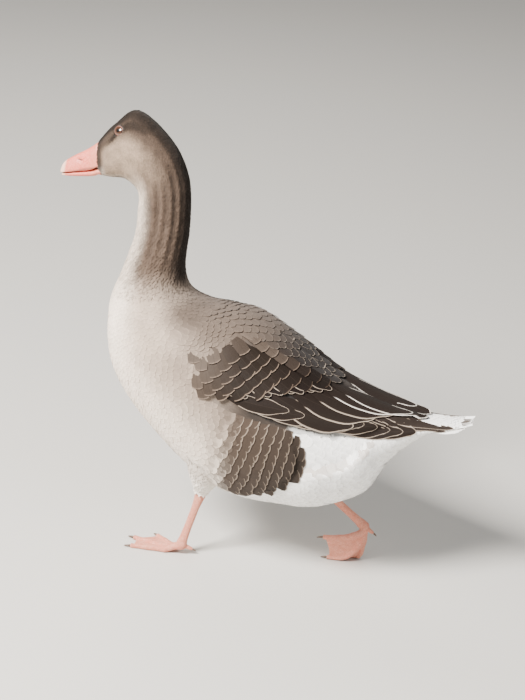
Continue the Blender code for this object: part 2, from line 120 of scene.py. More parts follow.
def body_form(place, angle):
    """Points on the body. The angle starts at the left widest line and runs over the back."""
    at = between(SECTION_VALUES, place)
    back, front, half_width = at[..., 0:2], at[..., 2:4], at[..., 4]
    middle = front + (back - front) * at[..., 5:6]
    sine = np.sin(angle)[..., None]
    upright = middle + np.where(sine >= 0, back - middle, middle - front) * sine
    return np.stack([half_width * np.cos(angle), upright[..., 0], upright[..., 1]], -1)


def fold_over(angle):
    """An angle's match on the left side, in degrees from -90 at the belly to 90 at the back."""
    return np.degrees(np.arcsin(np.sin(angle)))


def wing_share(place):
    """How far along the folded wing a place is, from 0 to 1."""
    return (place - WING_FROM) / (WING_TO - WING_FROM)


def wing_edges(share):
    """The folded wing's lowest and highest angles, in degrees, at a share of its length."""
    share = np.clip(share, 0.0, 1.0)
    front = np.sqrt(np.maximum(1 - (1 - np.minimum(share / 0.16, 1.0)) ** 2, 0))
    shoulder, half_way, at_tip = WING_LOW_ANGLES
    low = shoulder + (half_way - shoulder) * ease(0, 0.5, share) + (at_tip - half_way) * ease(0.5, 1.0, share)
    high = WING_HIGH_ANGLES[0] + (WING_HIGH_ANGLES[1] - WING_HIGH_ANGLES[0]) * ease(0, 1 / 1.3, share)
    middle = low + 0.52 * (high - low)
    reach = (0.12 + 0.88 * front) * (0.10 + 0.90 * ease(1.0, 0.87, share))
    return middle + (low - middle) * reach, middle + (high - middle) * reach


def surface(along, around, form=body_form):
    """A form's point, its unit vectors ahead, across and outwards, and how it is stretched there."""
    step = 1e-3
    run = (form(along + step, around) - form(along - step, around)) / (2 * step)
    turn = (form(along, around + step) - form(along, around - step)) / (2 * step)
    reach = np.linalg.norm(run, axis=-1, keepdims=True)
    ahead = run / reach
    slip = np.sum(turn * ahead, -1, keepdims=True)
    across = turn - slip * ahead
    girth = np.linalg.norm(across, axis=-1, keepdims=True)
    across = across / girth
    return SimpleNamespace(point=form(along, around), ahead=ahead, across=across, out=np.cross(ahead, across),
                           reach=reach[..., 0], girth=girth[..., 0], slip=slip[..., 0])


def walk(along, around, ahead, across, form=body_form):
    """The place that lies so many metres ahead of and across from another."""
    here = surface(along, around, form)
    turn = across / here.girth
    return along + (ahead - turn * here.slip) / here.reach, around + turn


# ---------------------------------------------------------------- markings
# The coat's colours. A grey-brown bird with a dark crown and nape, a pale cheek, throat and breast,
# barred flanks, a whitish belly, and a white vent and tail cover. The nape's darkness is partly painted
# shade, and painted shade also darkens the forehead, a stroke through the eye, the underside of the jaw
# and the crease under the vent. Skin and feathers both read these.
def shade(red, green, blue):
    """A colour as the eye reads it, 0 to 255, as linear light."""
    value = np.array([red, green, blue]) / 255
    return np.where(value <= 0.04045, value / 12.92, ((value + 0.055) / 1.055) ** 2.4)


# The second of these browns is the nape's, and also the colour of the painted shade on the face.
GREY_BROWN, NAPE_AND_SHADE_BROWN, CROWN_BROWN = shade(80, 66, 56), shade(34, 26, 20), shade(34, 27, 22)
CHEEK_BUFF, THROAT_BUFF = shade(144, 125, 107), shade(216, 200, 184)
BREAST_CREAM, BREAST_GREY, BACK_GREY = shade(234, 219, 203), shade(166, 149, 134), shade(90, 78, 69)
FLANK_BROWN, FLANK_EDGE = shade(66, 55, 47), shade(136, 121, 107)
BELLY_WHITE, VENT_WHITE, RUMP_GREY = shade(234, 226, 216), shade(250, 249, 246), shade(78, 68, 60)
WING_BROWN, BILL_SKIN = shade(31, 24, 20), shade(204, 132, 104)


def blend(colour, *layers):
    """A colour with others laid over it in turn, each given with its share at each place."""
    for other, share in layers:
        colour = colour + (other - colour) * np.asarray(share)[..., None]
    return colour


def ripple(points, size, seed):
    """A smooth uneven pattern, about -1 to 1, with patches of that size."""
    uneven = np.random.default_rng(seed)
    total = np.zeros(points.shape[:-1])
    for wave in uneven.normal(size=(7, 3)):
        wave *= 2 * math.pi / (size * 3.2)
        total += np.sin(points @ wave + uneven.uniform(0, 2 * math.pi))
    return total / 2.6


def vent_line(low):
    """The place where the flank and belly end and the white vent starts, at an angle in degrees."""
    upper, lower = np.clip((low + 5) / 23, 0, 2), np.clip((-5 - low) / 32, 0, 2)
    return AT["thighs"] - 0.2 * upper ** 2 - 0.4 * lower ** 1.5


def crease_angle(place):
    """The angle, in degrees, of the crease between the vent and the fluffy belly."""
    return np.interp(place, (10.9, 11.8, 12.42, 13.0), (-9.0, -4.0, 18.0, 40.0))


def flank_patch(place, angle):
    """How much of the barred flank there is at a place: a rounded lobe below the wing."""
    low = fold_over(angle)
    rear = vent_line(low)
    front = ease(9.45, 10.0, place + 0.004 * low)
    return front * (1 - ease(rear - 0.03, rear + 0.03, place)) * ease(-60, -46, low)


def markings(place, angle, points=None):
    """The plumage's colour at places on the body, mottled by where its points are."""
    points = body_form(place, angle) if points is None else points
    up, low = np.sin(angle), fold_over(angle)
    trunk = ease(AT["mid_neck"] + 0.6, AT["shoulder"], place)
    side = blend(BREAST_GREY, (BREAST_CREAM, ease(0.15, -0.75, up)),
                 (BACK_GREY, ease(0.35, 0.85, up) * ease(6.2, 7.6, place)),
                 (BACK_GREY, 0.6 * ease(AT["breast"] - 0.3, AT["keel"], place) * ease(-0.4, 0.4, up)),
                 (BELLY_WHITE, ease(8.6, 10.2, place) * ease(-0.45, -0.85, up)),
                 (FLANK_BROWN, flank_patch(place, angle)))

    # the neck's pale throat line and dark nape, the nape partly its own darker brown and partly painted shade
    neck = 1 - ease(AT["neck_root"] - 0.2, AT["shoulder"] + 0.1, place)
    nape = neck * (0.35 * ease(0.30, 0.75, up) + 0.65 * ease(0.74, 0.95, up))
    colour = blend(GREY_BROWN, (side, trunk), (THROAT_BUFF, neck * ease(-0.20, -0.90, up) * 0.85),
                   (NAPE_AND_SHADE_BROWN, nape))

    # the face: a pale cheek, a dark crown, a brown strip behind the bill, and painted shade: a dark mark on
    # the forehead, a stroke through the eye, and a dark line along the underside of the jaw
    face = 1 - ease(AT["occiput"] + 0.1, AT["nape"], place)
    pale = ease(0.15, 0.7, place) * (1 - 0.75 * ease(1.8, 3.2, place))
    eye_shade_stroke = low - 40 - 12 * (place - 1.4)
    colour = blend(colour, (CHEEK_BUFF, face * pale * hump(-58, 24, 12, low)),
                   (CROWN_BROWN, face * ease(50, 66, low) * 0.85),
                   (NAPE_AND_SHADE_BROWN, 0.75 * hump(1.05, 1.65, 0.2, place) * ease(56, 70, low)),
                   (NAPE_AND_SHADE_BROWN, 0.55 * (1 - ease(0.10, 0.34, place)) * ease(-70, -30, low)),
                   (NAPE_AND_SHADE_BROWN, 0.9 * hump(-9, 8, 5, eye_shade_stroke) * hump(0.80, 2.4, 0.25, place)),
                   (NAPE_AND_SHADE_BROWN, 0.45 * hump(-74, -62, 5, low) * hump(0.6, 2.8, 0.3, place)))

    # white behind the legs and under the tail, a grey line of painted shade along the crease between the
    # vent and the fluffy belly, grey on the rump, and a white band over the tail's root
    vent = ease(-0.03, 0.05, place - vent_line(np.maximum(low, -60))) * ease(40, 25, low)
    crease_shade = hump(-5, 1, 2.5, low - crease_angle(place)) * hump(11.0, 12.6, 0.3, place)
    above = ease(25, 45, low)
    colour = blend(colour, (VENT_WHITE, vent), (BREAST_GREY, 0.6 * crease_shade),
                   (RUMP_GREY, above * ease(AT["belly"] + 0.3, AT["thighs"], place)),
                   (VENT_WHITE, above * ease(AT["rump"] + 0.35, AT["rump"] + 0.6, place)))

    # brown under the folded wings, so that none of the white shows between their feathers
    share = wing_share(place)
    lowest, highest = wing_edges(share)
    folded = hump(lowest + 5, highest + 8, 3, low) * hump(0.24, 0.97, 0.03, share)
    colour = blend(colour, (WING_BROWN, folded))
    mottle = 0.10 * neck * ripple(points, 0.007, 5) + 0.05 * ripple(points, 0.016, 8)
    return colour * (1 + mottle * (1 - 0.7 * ease(0.45, 0.8, colour[..., 1])))[..., None]


# ---------------------------------------------------------------- skin
# One unbroken skin under the coat: head, neck, trunk, wings and thighs grown together, a little inside
# the outline of the feathers. It keeps the markings, so that nothing odd shows in a parting.
SKIN_NODES = ("head", "neck", "trunk", "wing_left", "wing_right", "thigh_left", "thigh_right")
SKIN_GRAIN = 0.0028              # the size of its faces
SKIN_SWELL, SKIN_SMOOTHING = 0.0004, 12
HEAD_COAT_DEPTH, NECK_COAT_DEPTH, TRUNK_COAT_DEPTH = 0.0014, 0.0026, 0.0036


class Wire:
    """A node's output, so that shader maths can be written as Python expressions."""

    def __init__(self, finish, socket):
        self.finish, self.socket = finish, socket

    def _math(self, operation, first, second):
        return self.finish.node("ShaderNodeMath", {"operation": operation}, {0: first, 1: second})

    def __add__(self, other):
        return self._math("ADD", self, other)

    def __sub__(self, other):
        return self._math("SUBTRACT", self, other)

    def __rsub__(self, other):
        return self._math("SUBTRACT", other, self)

    def __mul__(self, other):
        return self._math("MULTIPLY", self, other)

    def __gt__(self, other):
        return self._math("GREATER_THAN", self, other)

    def __abs__(self):
        return self._math("ABSOLUTE", self, 0.0)

    __radd__ = __add__
    __rmul__ = __mul__


class Finish:
    """A material as it is built. node() makes any node from its type, its settings and its sockets."""

    def __init__(self, name):
        self.material = bpy.data.materials.new(name)
        self.material.use_nodes = True
        self.tree = self.material.node_tree

    def node(self, kind, settings=None, sockets=None, out=0):
        made = self.tree.nodes.new(kind)
        for key, value in (settings or {}).items():
            setattr(made, key, value)
        for key, value in (sockets or {}).items():
            self.feed(made.inputs[key], value)
        return Wire(self, made.outputs[out])

    def feed(self, socket, value):
        """Links a wire to a socket, or sets it to a number, a vector or a linear colour."""
        if isinstance(value, Wire):
            self.tree.links.new(value.socket, socket)
        else:
            socket.default_value = (*value.tolist(), 1.0) if isinstance(value, np.ndarray) else value

    def set(self, **values):
        """Sets the shader's sockets, with spaces written as underlines."""
        for key, value in values.items():
            self.feed(self.tree.nodes["Principled BSDF"].inputs[key.replace("_", " ")], value)
        return self.material

    def attribute(self, name, out="Color"):
        return self.node("ShaderNodeAttribute", {"attribute_name": name}, out=out)

    def split(self, vector):
        """The x, y and z of a vector."""
        parts = self.node("ShaderNodeSeparateXYZ", None, {0: vector})
        return [Wire(self, parts.socket.node.outputs[k]) for k in range(3)]

    def place(self):
        return self.node("ShaderNodeTexCoord", out="Object")

    def noise(self, where, scale, detail=2.0, roughness=0.5):
        sockets = {"Vector": where, "Scale": scale, "Detail": detail, "Roughness": roughness}
        return self.node("ShaderNodeTexNoise", None, sockets)

    def ramp(self, value, low, high, start=0.0, end=1.0):
        """A smooth rise from start to end as the value goes from low to high."""
        return self.node("ShaderNodeMapRange", {"interpolation_type": "SMOOTHSTEP"},
                         {"Value": value, "From Min": low, "From Max": high, "To Min": start, "To Max": end})

    def mix(self, share, first, second):
        """A colour between two."""
        settings = {"data_type": "RGBA", "clamp_factor": True}
        return self.node("ShaderNodeMix", settings, {0: share, 6: first, 7: second}, out=2)

    def vector(self, operation, first, second, out=0):
        return self.node("ShaderNodeVectorMath", {"operation": operation}, {0: first, 1: second}, out)

    def scale(self, colour, amount):
        """A colour made lighter or darker by a number."""
        return self.node("ShaderNodeVectorMath", {"operation": "SCALE"}, {0: colour, "Scale": amount})

    def bump(self, height, distance, strength=1.0):
        sockets = {"Height": height, "Distance": distance, "Strength": strength}
        return self.node("ShaderNodeBump", None, sockets)


def linked(name, data):
    """A new object with that mesh, lamp or camera, in the scene."""
    made = bpy.data.objects.new(name, data)
    bpy.context.scene.collection.objects.link(made)
    return made


def new_piece(name, mesh, finish, slot, *stands_for):
    """Links a finished mesh as a piece that rides with the bird, in place of CAD nodes."""
    mesh.materials.clear()
    mesh.materials.append(finish)
    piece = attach(linked(name, mesh), "root")
    if stands_for:
        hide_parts(*stands_for)
    return piece


def as_mesh(name, work):
    """The mesh of a work in progress, smoothly shaded."""
    mesh = bpy.data.meshes.new(name)
    work.to_mesh(mesh)
    work.free()
    mesh.shade_smooth()
    return mesh


def copied(nodes):
    """Copies of CAD nodes as one work in progress, with their loose triangles merged."""
    work = bmesh.new()
    for node in nodes:
        work.from_mesh(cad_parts[node].data)
    bmesh.ops.remove_doubles(work, verts=work.verts, dist=1e-6)
    return work


def grown_together(name, nodes, grain, swell, smoothing):
    """Copies of CAD nodes as one mesh of small even faces, with its steps smoothed away."""
    work = copied(nodes)
    bmesh.ops.recalc_face_normals(work, faces=work.faces)
    for vert in work.verts:
        vert.co += vert.normal * swell
    rough = linked(name, as_mesh(name, work))
    remesh = rough.modifiers.new("remesh", "REMESH")
    remesh.mode = "VOXEL"
    remesh.voxel_size = grain
    work = bmesh.new()
    work.from_mesh(rough.evaluated_get(bpy.context.evaluated_depsgraph_get()).to_mesh())
    bpy.data.objects.remove(rough)
    for _ in range(smoothing):
        bmesh.ops.smooth_vert(work, verts=work.verts, factor=0.5,
                              use_axis_x=True, use_axis_y=True, use_axis_z=True)
    return as_mesh(name, work)


def vertex_values(mesh, what):
    """The places or normals of a mesh's vertices, as an array."""
    values = np.empty(len(mesh.vertices) * 3, np.float32)
    mesh.vertices.foreach_get(what, values)
    return values.reshape(-1, 3).astype(float)


def store(layer, field, values):
    """Writes an array of numbers into a mesh's layer."""
    layer.foreach_set(field, values.astype(np.float32).ravel())


def lookup(places, angles, flatten=(1, 1, 1)):
    """A function that finds the body's nearest place and angle to each point, and how far off it is."""
    places, angles = (grid.ravel() for grid in np.meshgrid(places, np.radians(angles), indexing="ij"))
    tree = KDTree(len(places))
    for index, point in enumerate(body_form(places, angles) * flatten):
        tree.insert(point, index)
    tree.balance()

    def nearest(points):
        _, index, off = zip(*(tree.find(point) for point in points))
        index = np.array(index)
        return places[index], angles[index], np.array(off)

    return nearest


on_body = lookup(np.arange(0, AT["tail_end"], 0.06), np.arange(0, 360, 4))

skin_mesh = grown_together("skin", SKIN_NODES, SKIN_GRAIN, SKIN_SWELL, SKIN_SMOOTHING)
skin_points = vertex_values(skin_mesh, "co")
skin_place, skin_angle, _ = on_body(skin_points)
skin_depth = HEAD_COAT_DEPTH + (NECK_COAT_DEPTH - HEAD_COAT_DEPTH) * ease(2.5, 4.5, skin_place)
skin_depth += (TRUNK_COAT_DEPTH - NECK_COAT_DEPTH) * ease(5.5, 7.5, skin_place)
skin_points -= vertex_values(skin_mesh, "normal") * skin_depth[:, None]
store(skin_mesh.vertices, "co", skin_points)
skin_tint = blend(markings(skin_place, skin_angle, skin_points), (BILL_SKIN, ease(0.10, 0.04, skin_place)))
store(skin_mesh.attributes.new("tint", "FLOAT_COLOR", "POINT").data, "color", np.insert(skin_tint, 3, 1, 1))

skin_finish = Finish("downy_skin")
down = skin_finish.noise(skin_finish.place(), 900.0, 3.0, 0.6)
skin_colour = skin_finish.scale(skin_finish.attribute("tint"), skin_finish.ramp(down, 0.3, 0.7, 0.62, 0.9))
skin_down = skin_finish.set(Base_Color=skin_colour, Roughness=0.85, Normal=skin_finish.bump(down, 0.0006))
new_piece("skin", skin_mesh, skin_down, "plumage", *SKIN_NODES)


# ---------------------------------------------------------------- eyes
# Two dark brown eyeballs, set in the head so that a disc about 12 mm across shows, each in a narrow
# ring of bare orange-pink skin whose rims are the lids.
EYE_SEGMENTS, EYE_RINGS = 48, 32
PUPIL_RADIUS, IRIS_RADIUS = 0.0029, 0.0058
CORNEA_HEIGHT = 0.72             # how far it bulges, as a share of a round ball's
LID_RADIUS = 0.0062
EYE_SPOT = AT["brow"] + 0.43, math.radians(41.5)
EYE_AXIS = Vector((0.863, -0.331, 0.381)).normalized()
EYE_SINK = 0.0007
# Across the ring, from the lid's lip to the feathers: how far beyond its radius, and how far out.
LID_PROFILE = ((-0.0004, 0.0001), (-0.0001, 0.0006), (0.0004, 0.0006), (0.0008, 0.0001), (0.0030, -0.0012),
               (0.0028, -0.0022), (0.0, -0.0012))


def eye_seat(side):
    """An eyeball's centre, axis and radius, and how far out its ring is, level with the face."""
    low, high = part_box("eye_left" if side > 0 else "eye_right")
    radius = (high.z - low.z) / 2
    show = math.sqrt(radius ** 2 - LID_RADIUS ** 2)
    ring = Vector(body_form(np.array(EYE_SPOT[0]), np.array(EYE_SPOT[1])))
    mirror = Vector((side, 1, 1))
    return SimpleNamespace(centre=(ring - EYE_AXIS * (show + EYE_SINK)) * mirror, axis=EYE_AXIS * mirror,
                           radius=radius, show=show)


def off_axis(finish, seat):
    """How far a place is from the eye's axis."""
    offset = finish.vector("SUBTRACT", finish.place(), seat.centre)
    return finish.vector("LENGTH", finish.vector("CROSS_PRODUCT", offset, seat.axis), (0, 0, 0), "Value")


def eye_finish(label, seat):
    """Black pupil, dark brown mottled iris with a darker rim, under a clear wet surface."""
    finish = Finish("eye_" + label)
    radius = off_axis(finish, seat)
    brown = finish.mix(finish.noise(finish.place(), 1400.0), shade(40, 24, 15), shade(82, 48, 26))
    iris = finish.mix(finish.ramp(radius, IRIS_RADIUS * 0.86, IRIS_RADIUS), brown, shade(24, 15, 11))
    pupil = finish.ramp(radius, PUPIL_RADIUS * 0.94, PUPIL_RADIUS * 1.06)
    return finish.set(Base_Color=finish.mix(pupil, shade(8, 7, 7), iris), Roughness=0.22, Coat_Weight=1.0,
                      Coat_Roughness=0.03)


def lid_finish(label, seat):
    """Bare orange-pink skin at the rim, and brown feathered skin round it."""
    finish = Finish("lids_" + label)
    grain = finish.noise(finish.place(), 2600.0, 3.0)
    pink = finish.mix(grain, shade(98, 60, 46), shade(128, 84, 66))
    brown = finish.mix(grain, CROWN_BROWN * 0.7, CROWN_BROWN * 1.3)
    bare = finish.ramp(off_axis(finish, seat), LID_RADIUS * 1.10, LID_RADIUS * 1.17)
    bump = finish.bump(grain, 0.0003)
    return finish.set(Base_Color=finish.mix(bare, pink, brown), Roughness=0.5, Normal=bump)


def set_in_head(name, work, seat):
    """The mesh of a shape made on +Z, turned to the eye's axis with its +X level, and moved to its seat."""
    level = Vector((0, 0, 1)).cross(seat.axis).normalized()
    turned = Matrix((level, seat.axis.cross(level), seat.axis)).transposed()
    bmesh.ops.rotate(work, verts=work.verts, matrix=turned)
    bmesh.ops.translate(work, verts=work.verts, vec=seat.centre)
    return as_mesh(name, work)


def eyeball(label, seat):
    work = bmesh.new()
    bmesh.ops.create_uvsphere(work, u_segments=EYE_SEGMENTS, v_segments=EYE_RINGS, radius=seat.radius)
    for vert in work.verts:
        if vert.co.z > seat.show:
            vert.co.z = seat.show + (vert.co.z - seat.show) * CORNEA_HEIGHT
    mesh = set_in_head("eye_" + label, work, seat)
    new_piece("eyeball_" + label, mesh, eye_finish(label, seat), "eye_glass", "eye_" + label)


def lids(label, seat):
    """The bare ring round the eye, a little longer than high, and the skin that it lies in."""
    work = bmesh.new()
    ring = bmesh.ops.create_circle(work, segments=len(LID_PROFILE), radius=LID_RADIUS)["verts"]
    for vert, (out, rise) in zip(ring, LID_PROFILE):
        vert.co = (LID_RADIUS + out, 0, seat.show + rise)
    bmesh.ops.spin(work, geom=work.verts[:] + work.edges[:], cent=(0, 0, 0), axis=(0, 0, 1),
                   angle=2 * math.pi, steps=56, use_merge=True)
    bmesh.ops.remove_doubles(work, verts=work.verts, dist=1e-6)
    bmesh.ops.recalc_face_normals(work, faces=work.faces)
    for vert in work.verts:
        turn = math.atan2(vert.co.y, vert.co.x)
        corner = abs(math.cos(turn)) ** 6
        vert.co.x *= 1 + 0.10 * corner
        vert.co.y *= 0.97
        vert.co.z += 0.0002 * math.sin(turn) - 0.0004 * corner
    mesh = set_in_head("lids_" + label, work, seat)
    piece = new_piece("lids_" + label, mesh, lid_finish(label, seat), "bill_horn")
    soften = piece.modifiers.new("soften", "SUBSURF")
    soften.levels = soften.render_levels = 1


SIDES = {"left": 1, "right": -1}
for label, side in SIDES.items():
    eyeball(label, eye_seat(side))
    lids(label, eye_seat(side))


# ---------------------------------------------------------------- bill
# A deep wedge of pink horn over bone in two halves. The upper one has a hard pale nail at its tip, a
# nostril in a shallow hollow on each side, and combs of small teeth where it closes on the lower one.
BILL_LENGTH, BILL_ROOT_Y = 0.0560, -0.2633
BILL_TUCK = 0.0050               # how far it reaches back under the feathers
FACE_SLANT = (-0.2640 + 0.2580) / (0.6060 - 0.5550)
FACE_MIDDLE_Z = (0.6060 + 0.5550) / 2
# Each row: share of the length, heights of the ridge, the gape and the under side, half width.
BILL_STATIONS = np.array([
    (0.000, 0.6020, 0.5680, 0.5560, 0.0150),
    (0.100, 0.5975, 0.5650, 0.5530, 0.0146),
    (0.250, 0.5915, 0.5625, 0.5510, 0.0140),
    (0.420, 0.5855, 0.5600, 0.5495, 0.0132),
    (0.600, 0.5795, 0.5575, 0.5480, 0.0124),
    (0.760, 0.5735, 0.5550, 0.5470, 0.0116),
    (0.880, 0.5675, 0.5530, 0.5465, 0.0098),
    (0.955, 0.5620, 0.5515, 0.5460, 0.0072),
    (1.000, 0.5545, 0.5500, 0.5460, 0.0030),
])
BILL_RINGS, BILL_SIDES = 84, 64
LOWER_SHARE, LOWER_NARROWING = 0.955, 0.86
NOSTRIL_AT, NOSTRIL_HEIGHT = 0.44, 0.5755
NOSTRIL_HALF_LENGTH, NOSTRIL_HALF_HEIGHT, NOSTRIL_DEPTH = 0.0046, 0.0014, 0.0022
NAIL_FROM, NAIL_RISE, NAIL_HALF_WIDTH = 0.80, 0.0006, 0.0072
TEETH, TOOTH_DEPTH = 26, 0.0006


def bill_station(share):
    """The bill's heights and half width at a share of its length."""
    place = np.interp(share, BILL_STATIONS[:, 0], np.arange(len(BILL_STATIONS)))
    return between(BILL_STATIONS[:, 1:], np.array(place))


def bill_y(share, height):
    """How far forward a point of the bill is: the root slants as the face does."""
    return BILL_ROOT_Y - BILL_LENGTH * share + (1 - share) * FACE_SLANT * (height - FACE_MIDDLE_Z)


def upper_bill_point(share, turn):
    """A point on the upper bill. The turn starts at the left gape and runs over the ridge."""
    ridge, gape, _, half_width = bill_station(max(share, 0.0))
    sine, cosine = math.sin(turn), math.cos(turn)
    gape += 0.0016 * (1 - min(share / 0.3, 1.0)) ** 2
    if sine >= 0:
        height = gape + (ridge - gape) * sine ** 0.92
        out = half_width * math.copysign(abs(cosine) ** 0.82, cosine) * (1 - 0.10 * sine)
    else:
        height = gape + 0.0012 * sine
        out = half_width * cosine * 0.97
    point = Vector((out, bill_y(share, height), height))
    if sine > -0.2:
        off_nail = ((share - 1.0) / (1 - NAIL_FROM)) ** 2 + (out / NAIL_HALF_WIDTH) ** 2
        nail = float(ease(1.06, 0.86, off_nail)) * NAIL_RISE
        groove = math.exp(-((off_nail - 1.08) / 0.10) ** 2) * 0.0004
        ahead = (share - NOSTRIL_AT) * BILL_LENGTH
        above = height - NOSTRIL_HEIGHT + 0.18 * ahead
        reach = math.hypot(ahead / NOSTRIL_HALF_LENGTH, above / NOSTRIL_HALF_HEIGHT)
        slot = math.exp(-reach ** 4) * NOSTRIL_DEPTH + math.exp(-(reach / 2.6) ** 2) * 0.0007
        point += Vector((cosine, 0, max(sine, 0))).normalized() * (nail - groove - slot * abs(cosine))
    if -0.9 < sine < 0.10 and 0.06 < share < 0.9:
        comb = 0.5 + 0.5 * math.cos(2 * math.pi * TEETH * share)
        point.x -= math.copysign(TOOTH_DEPTH * comb, cosine)
    return point


def lower_bill_point(share, turn):
    """A point on the lower bill, which lies inside the upper one's rim."""
    _, gape, under, half_width = bill_station(max(share, 0.0) * LOWER_SHARE)
    sine, cosine = math.sin(turn), math.cos(turn)
    top = gape - 0.0013
    height = (top + under) / 2 + (top - under) / 2 * math.copysign(abs(sine) ** 0.8, sine)
    narrow = LOWER_NARROWING * (1 - 0.22 * max(-sine, 0.0))
    out = half_width * narrow * math.copysign(abs(cosine) ** 0.75, cosine)
    if sine < 0:
        height += 0.0009 * math.exp(-(cosine / 0.22) ** 2) * (1 - share)
    return Vector((out, bill_y(share * LOWER_SHARE, height), height))


def ring_loft(name, point_at, shares, sides):
    """A closed skin through rings, each a circle moved into shape and bridged to the one before."""
    work = bmesh.new()
    last = None
    for share in shares:
        ring = bmesh.ops.create_circle(work, segments=sides, radius=1.0)["verts"]
        for index, vert in enumerate(ring):
            vert.co = point_at(share, 2 * math.pi * index / sides)
        edges = list({edge for vert in ring for edge in vert.link_edges})
        if last is None:
            bmesh.ops.contextual_create(work, geom=edges)
        else:
            bmesh.ops.bridge_loops(work, edges=last + edges)
        last = edges
    bmesh.ops.contextual_create(work, geom=last)
    bmesh.ops.recalc_face_normals(work, faces=work.faces)
    return as_mesh(name, work)


def bill_finish():
    """Pink horn, paler and yellower at the nail, with fine pores, and painted shade: a duller, browner band
    along the gape and a dark spot in each nostril.
    """
    finish = Finish("bill_horn")
    place = finish.place()
    _, y, z = finish.split(place)
    grain, pores = finish.noise(place, 420.0, 4.0, 0.6), finish.noise(place, 2600.0)
    colour = finish.mix(finish.ramp(grain, 0.35, 0.65), shade(206, 98, 82), shade(220, 126, 108))
    root = finish.ramp(y, BILL_ROOT_Y - 0.016, BILL_ROOT_Y, 0.0, 0.55)
    nail_y = BILL_ROOT_Y - BILL_LENGTH * NAIL_FROM
    nail = finish.ramp(y + grain * 0.002, nail_y - 0.004, nail_y + 0.001, 0.75, 0.0)
    # painted shade: a duller, browner band along the gape, where the two halves meet
    above = z - finish.ramp(y, BILL_ROOT_Y - BILL_LENGTH, BILL_ROOT_Y) * 0.0165
    gape = finish.ramp(above, 0.5482, 0.5502, 0.0, 0.55) * finish.ramp(above, 0.5530, 0.5512)
    # painted shade: a dark spot in the nostril's hollow
    away_y = (y - bill_y(NOSTRIL_AT, NOSTRIL_HEIGHT)) * (1 / NOSTRIL_HALF_LENGTH)
    away_z = (z - NOSTRIL_HEIGHT) * (1 / NOSTRIL_HALF_HEIGHT)
    nostril_shade = finish.ramp(away_y * away_y + away_z * away_z, 0.3, 1.1, 0.8, 0.0)
    for share, mark in ((root, BILL_SKIN), (nail, shade(228, 203, 182)), (gape, shade(122, 78, 64)),
                        (nostril_shade, shade(70, 38, 32))):
        colour = finish.mix(share, colour, mark)
    return finish.set(Base_Color=colour, Roughness=finish.ramp(grain, 0.3, 0.7, 0.36, 0.52),
                      Normal=finish.bump(grain * 0.7 + pores * 0.3, 0.0004, 0.7), Subsurface_Weight=0.15,
                      Subsurface_Radius=(0.004, 0.0016, 0.001), Subsurface_Scale=0.5)


bill_shares = np.linspace(-BILL_TUCK / BILL_LENGTH, 1.0, BILL_RINGS)
horn = bill_finish()
for half, point_at, coarser in (("upper", upper_bill_point, 1), ("lower", lower_bill_point, 2)):
    name = f"bill_{half}_horn"
    mesh = ring_loft(name, point_at, bill_shares[::coarser], BILL_SIDES // coarser)
    new_piece(name, mesh, horn, "bill_horn", "bill_" + half)


# ---------------------------------------------------------------- legs and claws
# Bare pink legs: one skin of scales over shank, toes and webs, with rows of broad plates down the
# front of the shank and along the tops of the toes. The claws are blunt dark horn.
LEG_GRAIN = 0.00085
PLATE_PITCH, PLATE_RISE, TOE_PLATE_PITCH = 0.0036, 0.00028, 0.0026
# joint above the toes, hock, and toe tips at the sole, as in the solids
LEGS = {
    "left": (Vector((0.044, -0.0910, 0.0130)), Vector((0.044, -0.0660, 0.1020)),
             (Vector((0.006, -0.1390, 0)), Vector((0.026, -0.1700, 0)), Vector((0.054, -0.1660, 0)))),
    "right": (Vector((-0.038, 0.1690, 0.0600)), Vector((-0.044, 0.1000, 0.1060)),
              (Vector((-0.014, 0.1120, 0.0400)), Vector((-0.030, 0.1170, 0)), Vector((-0.052, 0.1470, 0)))),
}


def leg_finish():
    """Salmon skin with a net of small scales, darker in the seams and at the sole."""
    finish = Finish("leg_skin")
    place = finish.place()
    scales = {"Vector": place, "Scale": 620.0, "Randomness": 0.8}
    cells = finish.node("ShaderNodeTexVoronoi", {"feature": "DISTANCE_TO_EDGE"}, scales)
    tone = finish.split(finish.node("ShaderNodeTexVoronoi", {"feature": "F1"}, scales, out="Color"))[0]
    grain = finish.noise(place, 150.0, 3.0)
    colour = finish.mix(tone, shade(226, 146, 120), shade(236, 170, 146))
    blush, seam = finish.ramp(grain, 0.35, 0.7, 0.0, 0.5), finish.ramp(cells, 0.02, 0.14, 0.5, 0.0)
    sole = finish.ramp(finish.split(place)[2], 0.0006, 0.003, 0.5, 0.0)
    for share, mark in ((blush, (214, 126, 102)), (seam, (170, 96, 78)), (sole, (150, 104, 84))):
        colour = finish.mix(share, colour, shade(*mark))
    return finish.set(Base_Color=colour, Roughness=finish.ramp(grain, 0.3, 0.7, 0.42, 0.6),
                      Normal=finish.bump(finish.ramp(cells, 0.0, 0.22), 0.0005, 0.8), Subsurface_Weight=0.12,
                      Subsurface_Radius=(0.004, 0.0015, 0.001), Subsurface_Scale=0.5)


def claw_finish():
    finish = Finish("claw_horn")
    grain = finish.noise(finish.place(), 700.0, 3.0)
    colour = finish.mix(grain, shade(66, 52, 44), shade(128, 104, 88))
    return finish.set(Base_Color=colour, Roughness=0.4, Normal=finish.bump(grain, 0.0003))


def plates(along, pitch):
    """The rise and fall of broad plates along a line."""
    return np.abs(np.sin(math.pi * along / pitch)) ** 0.6 - 0.4


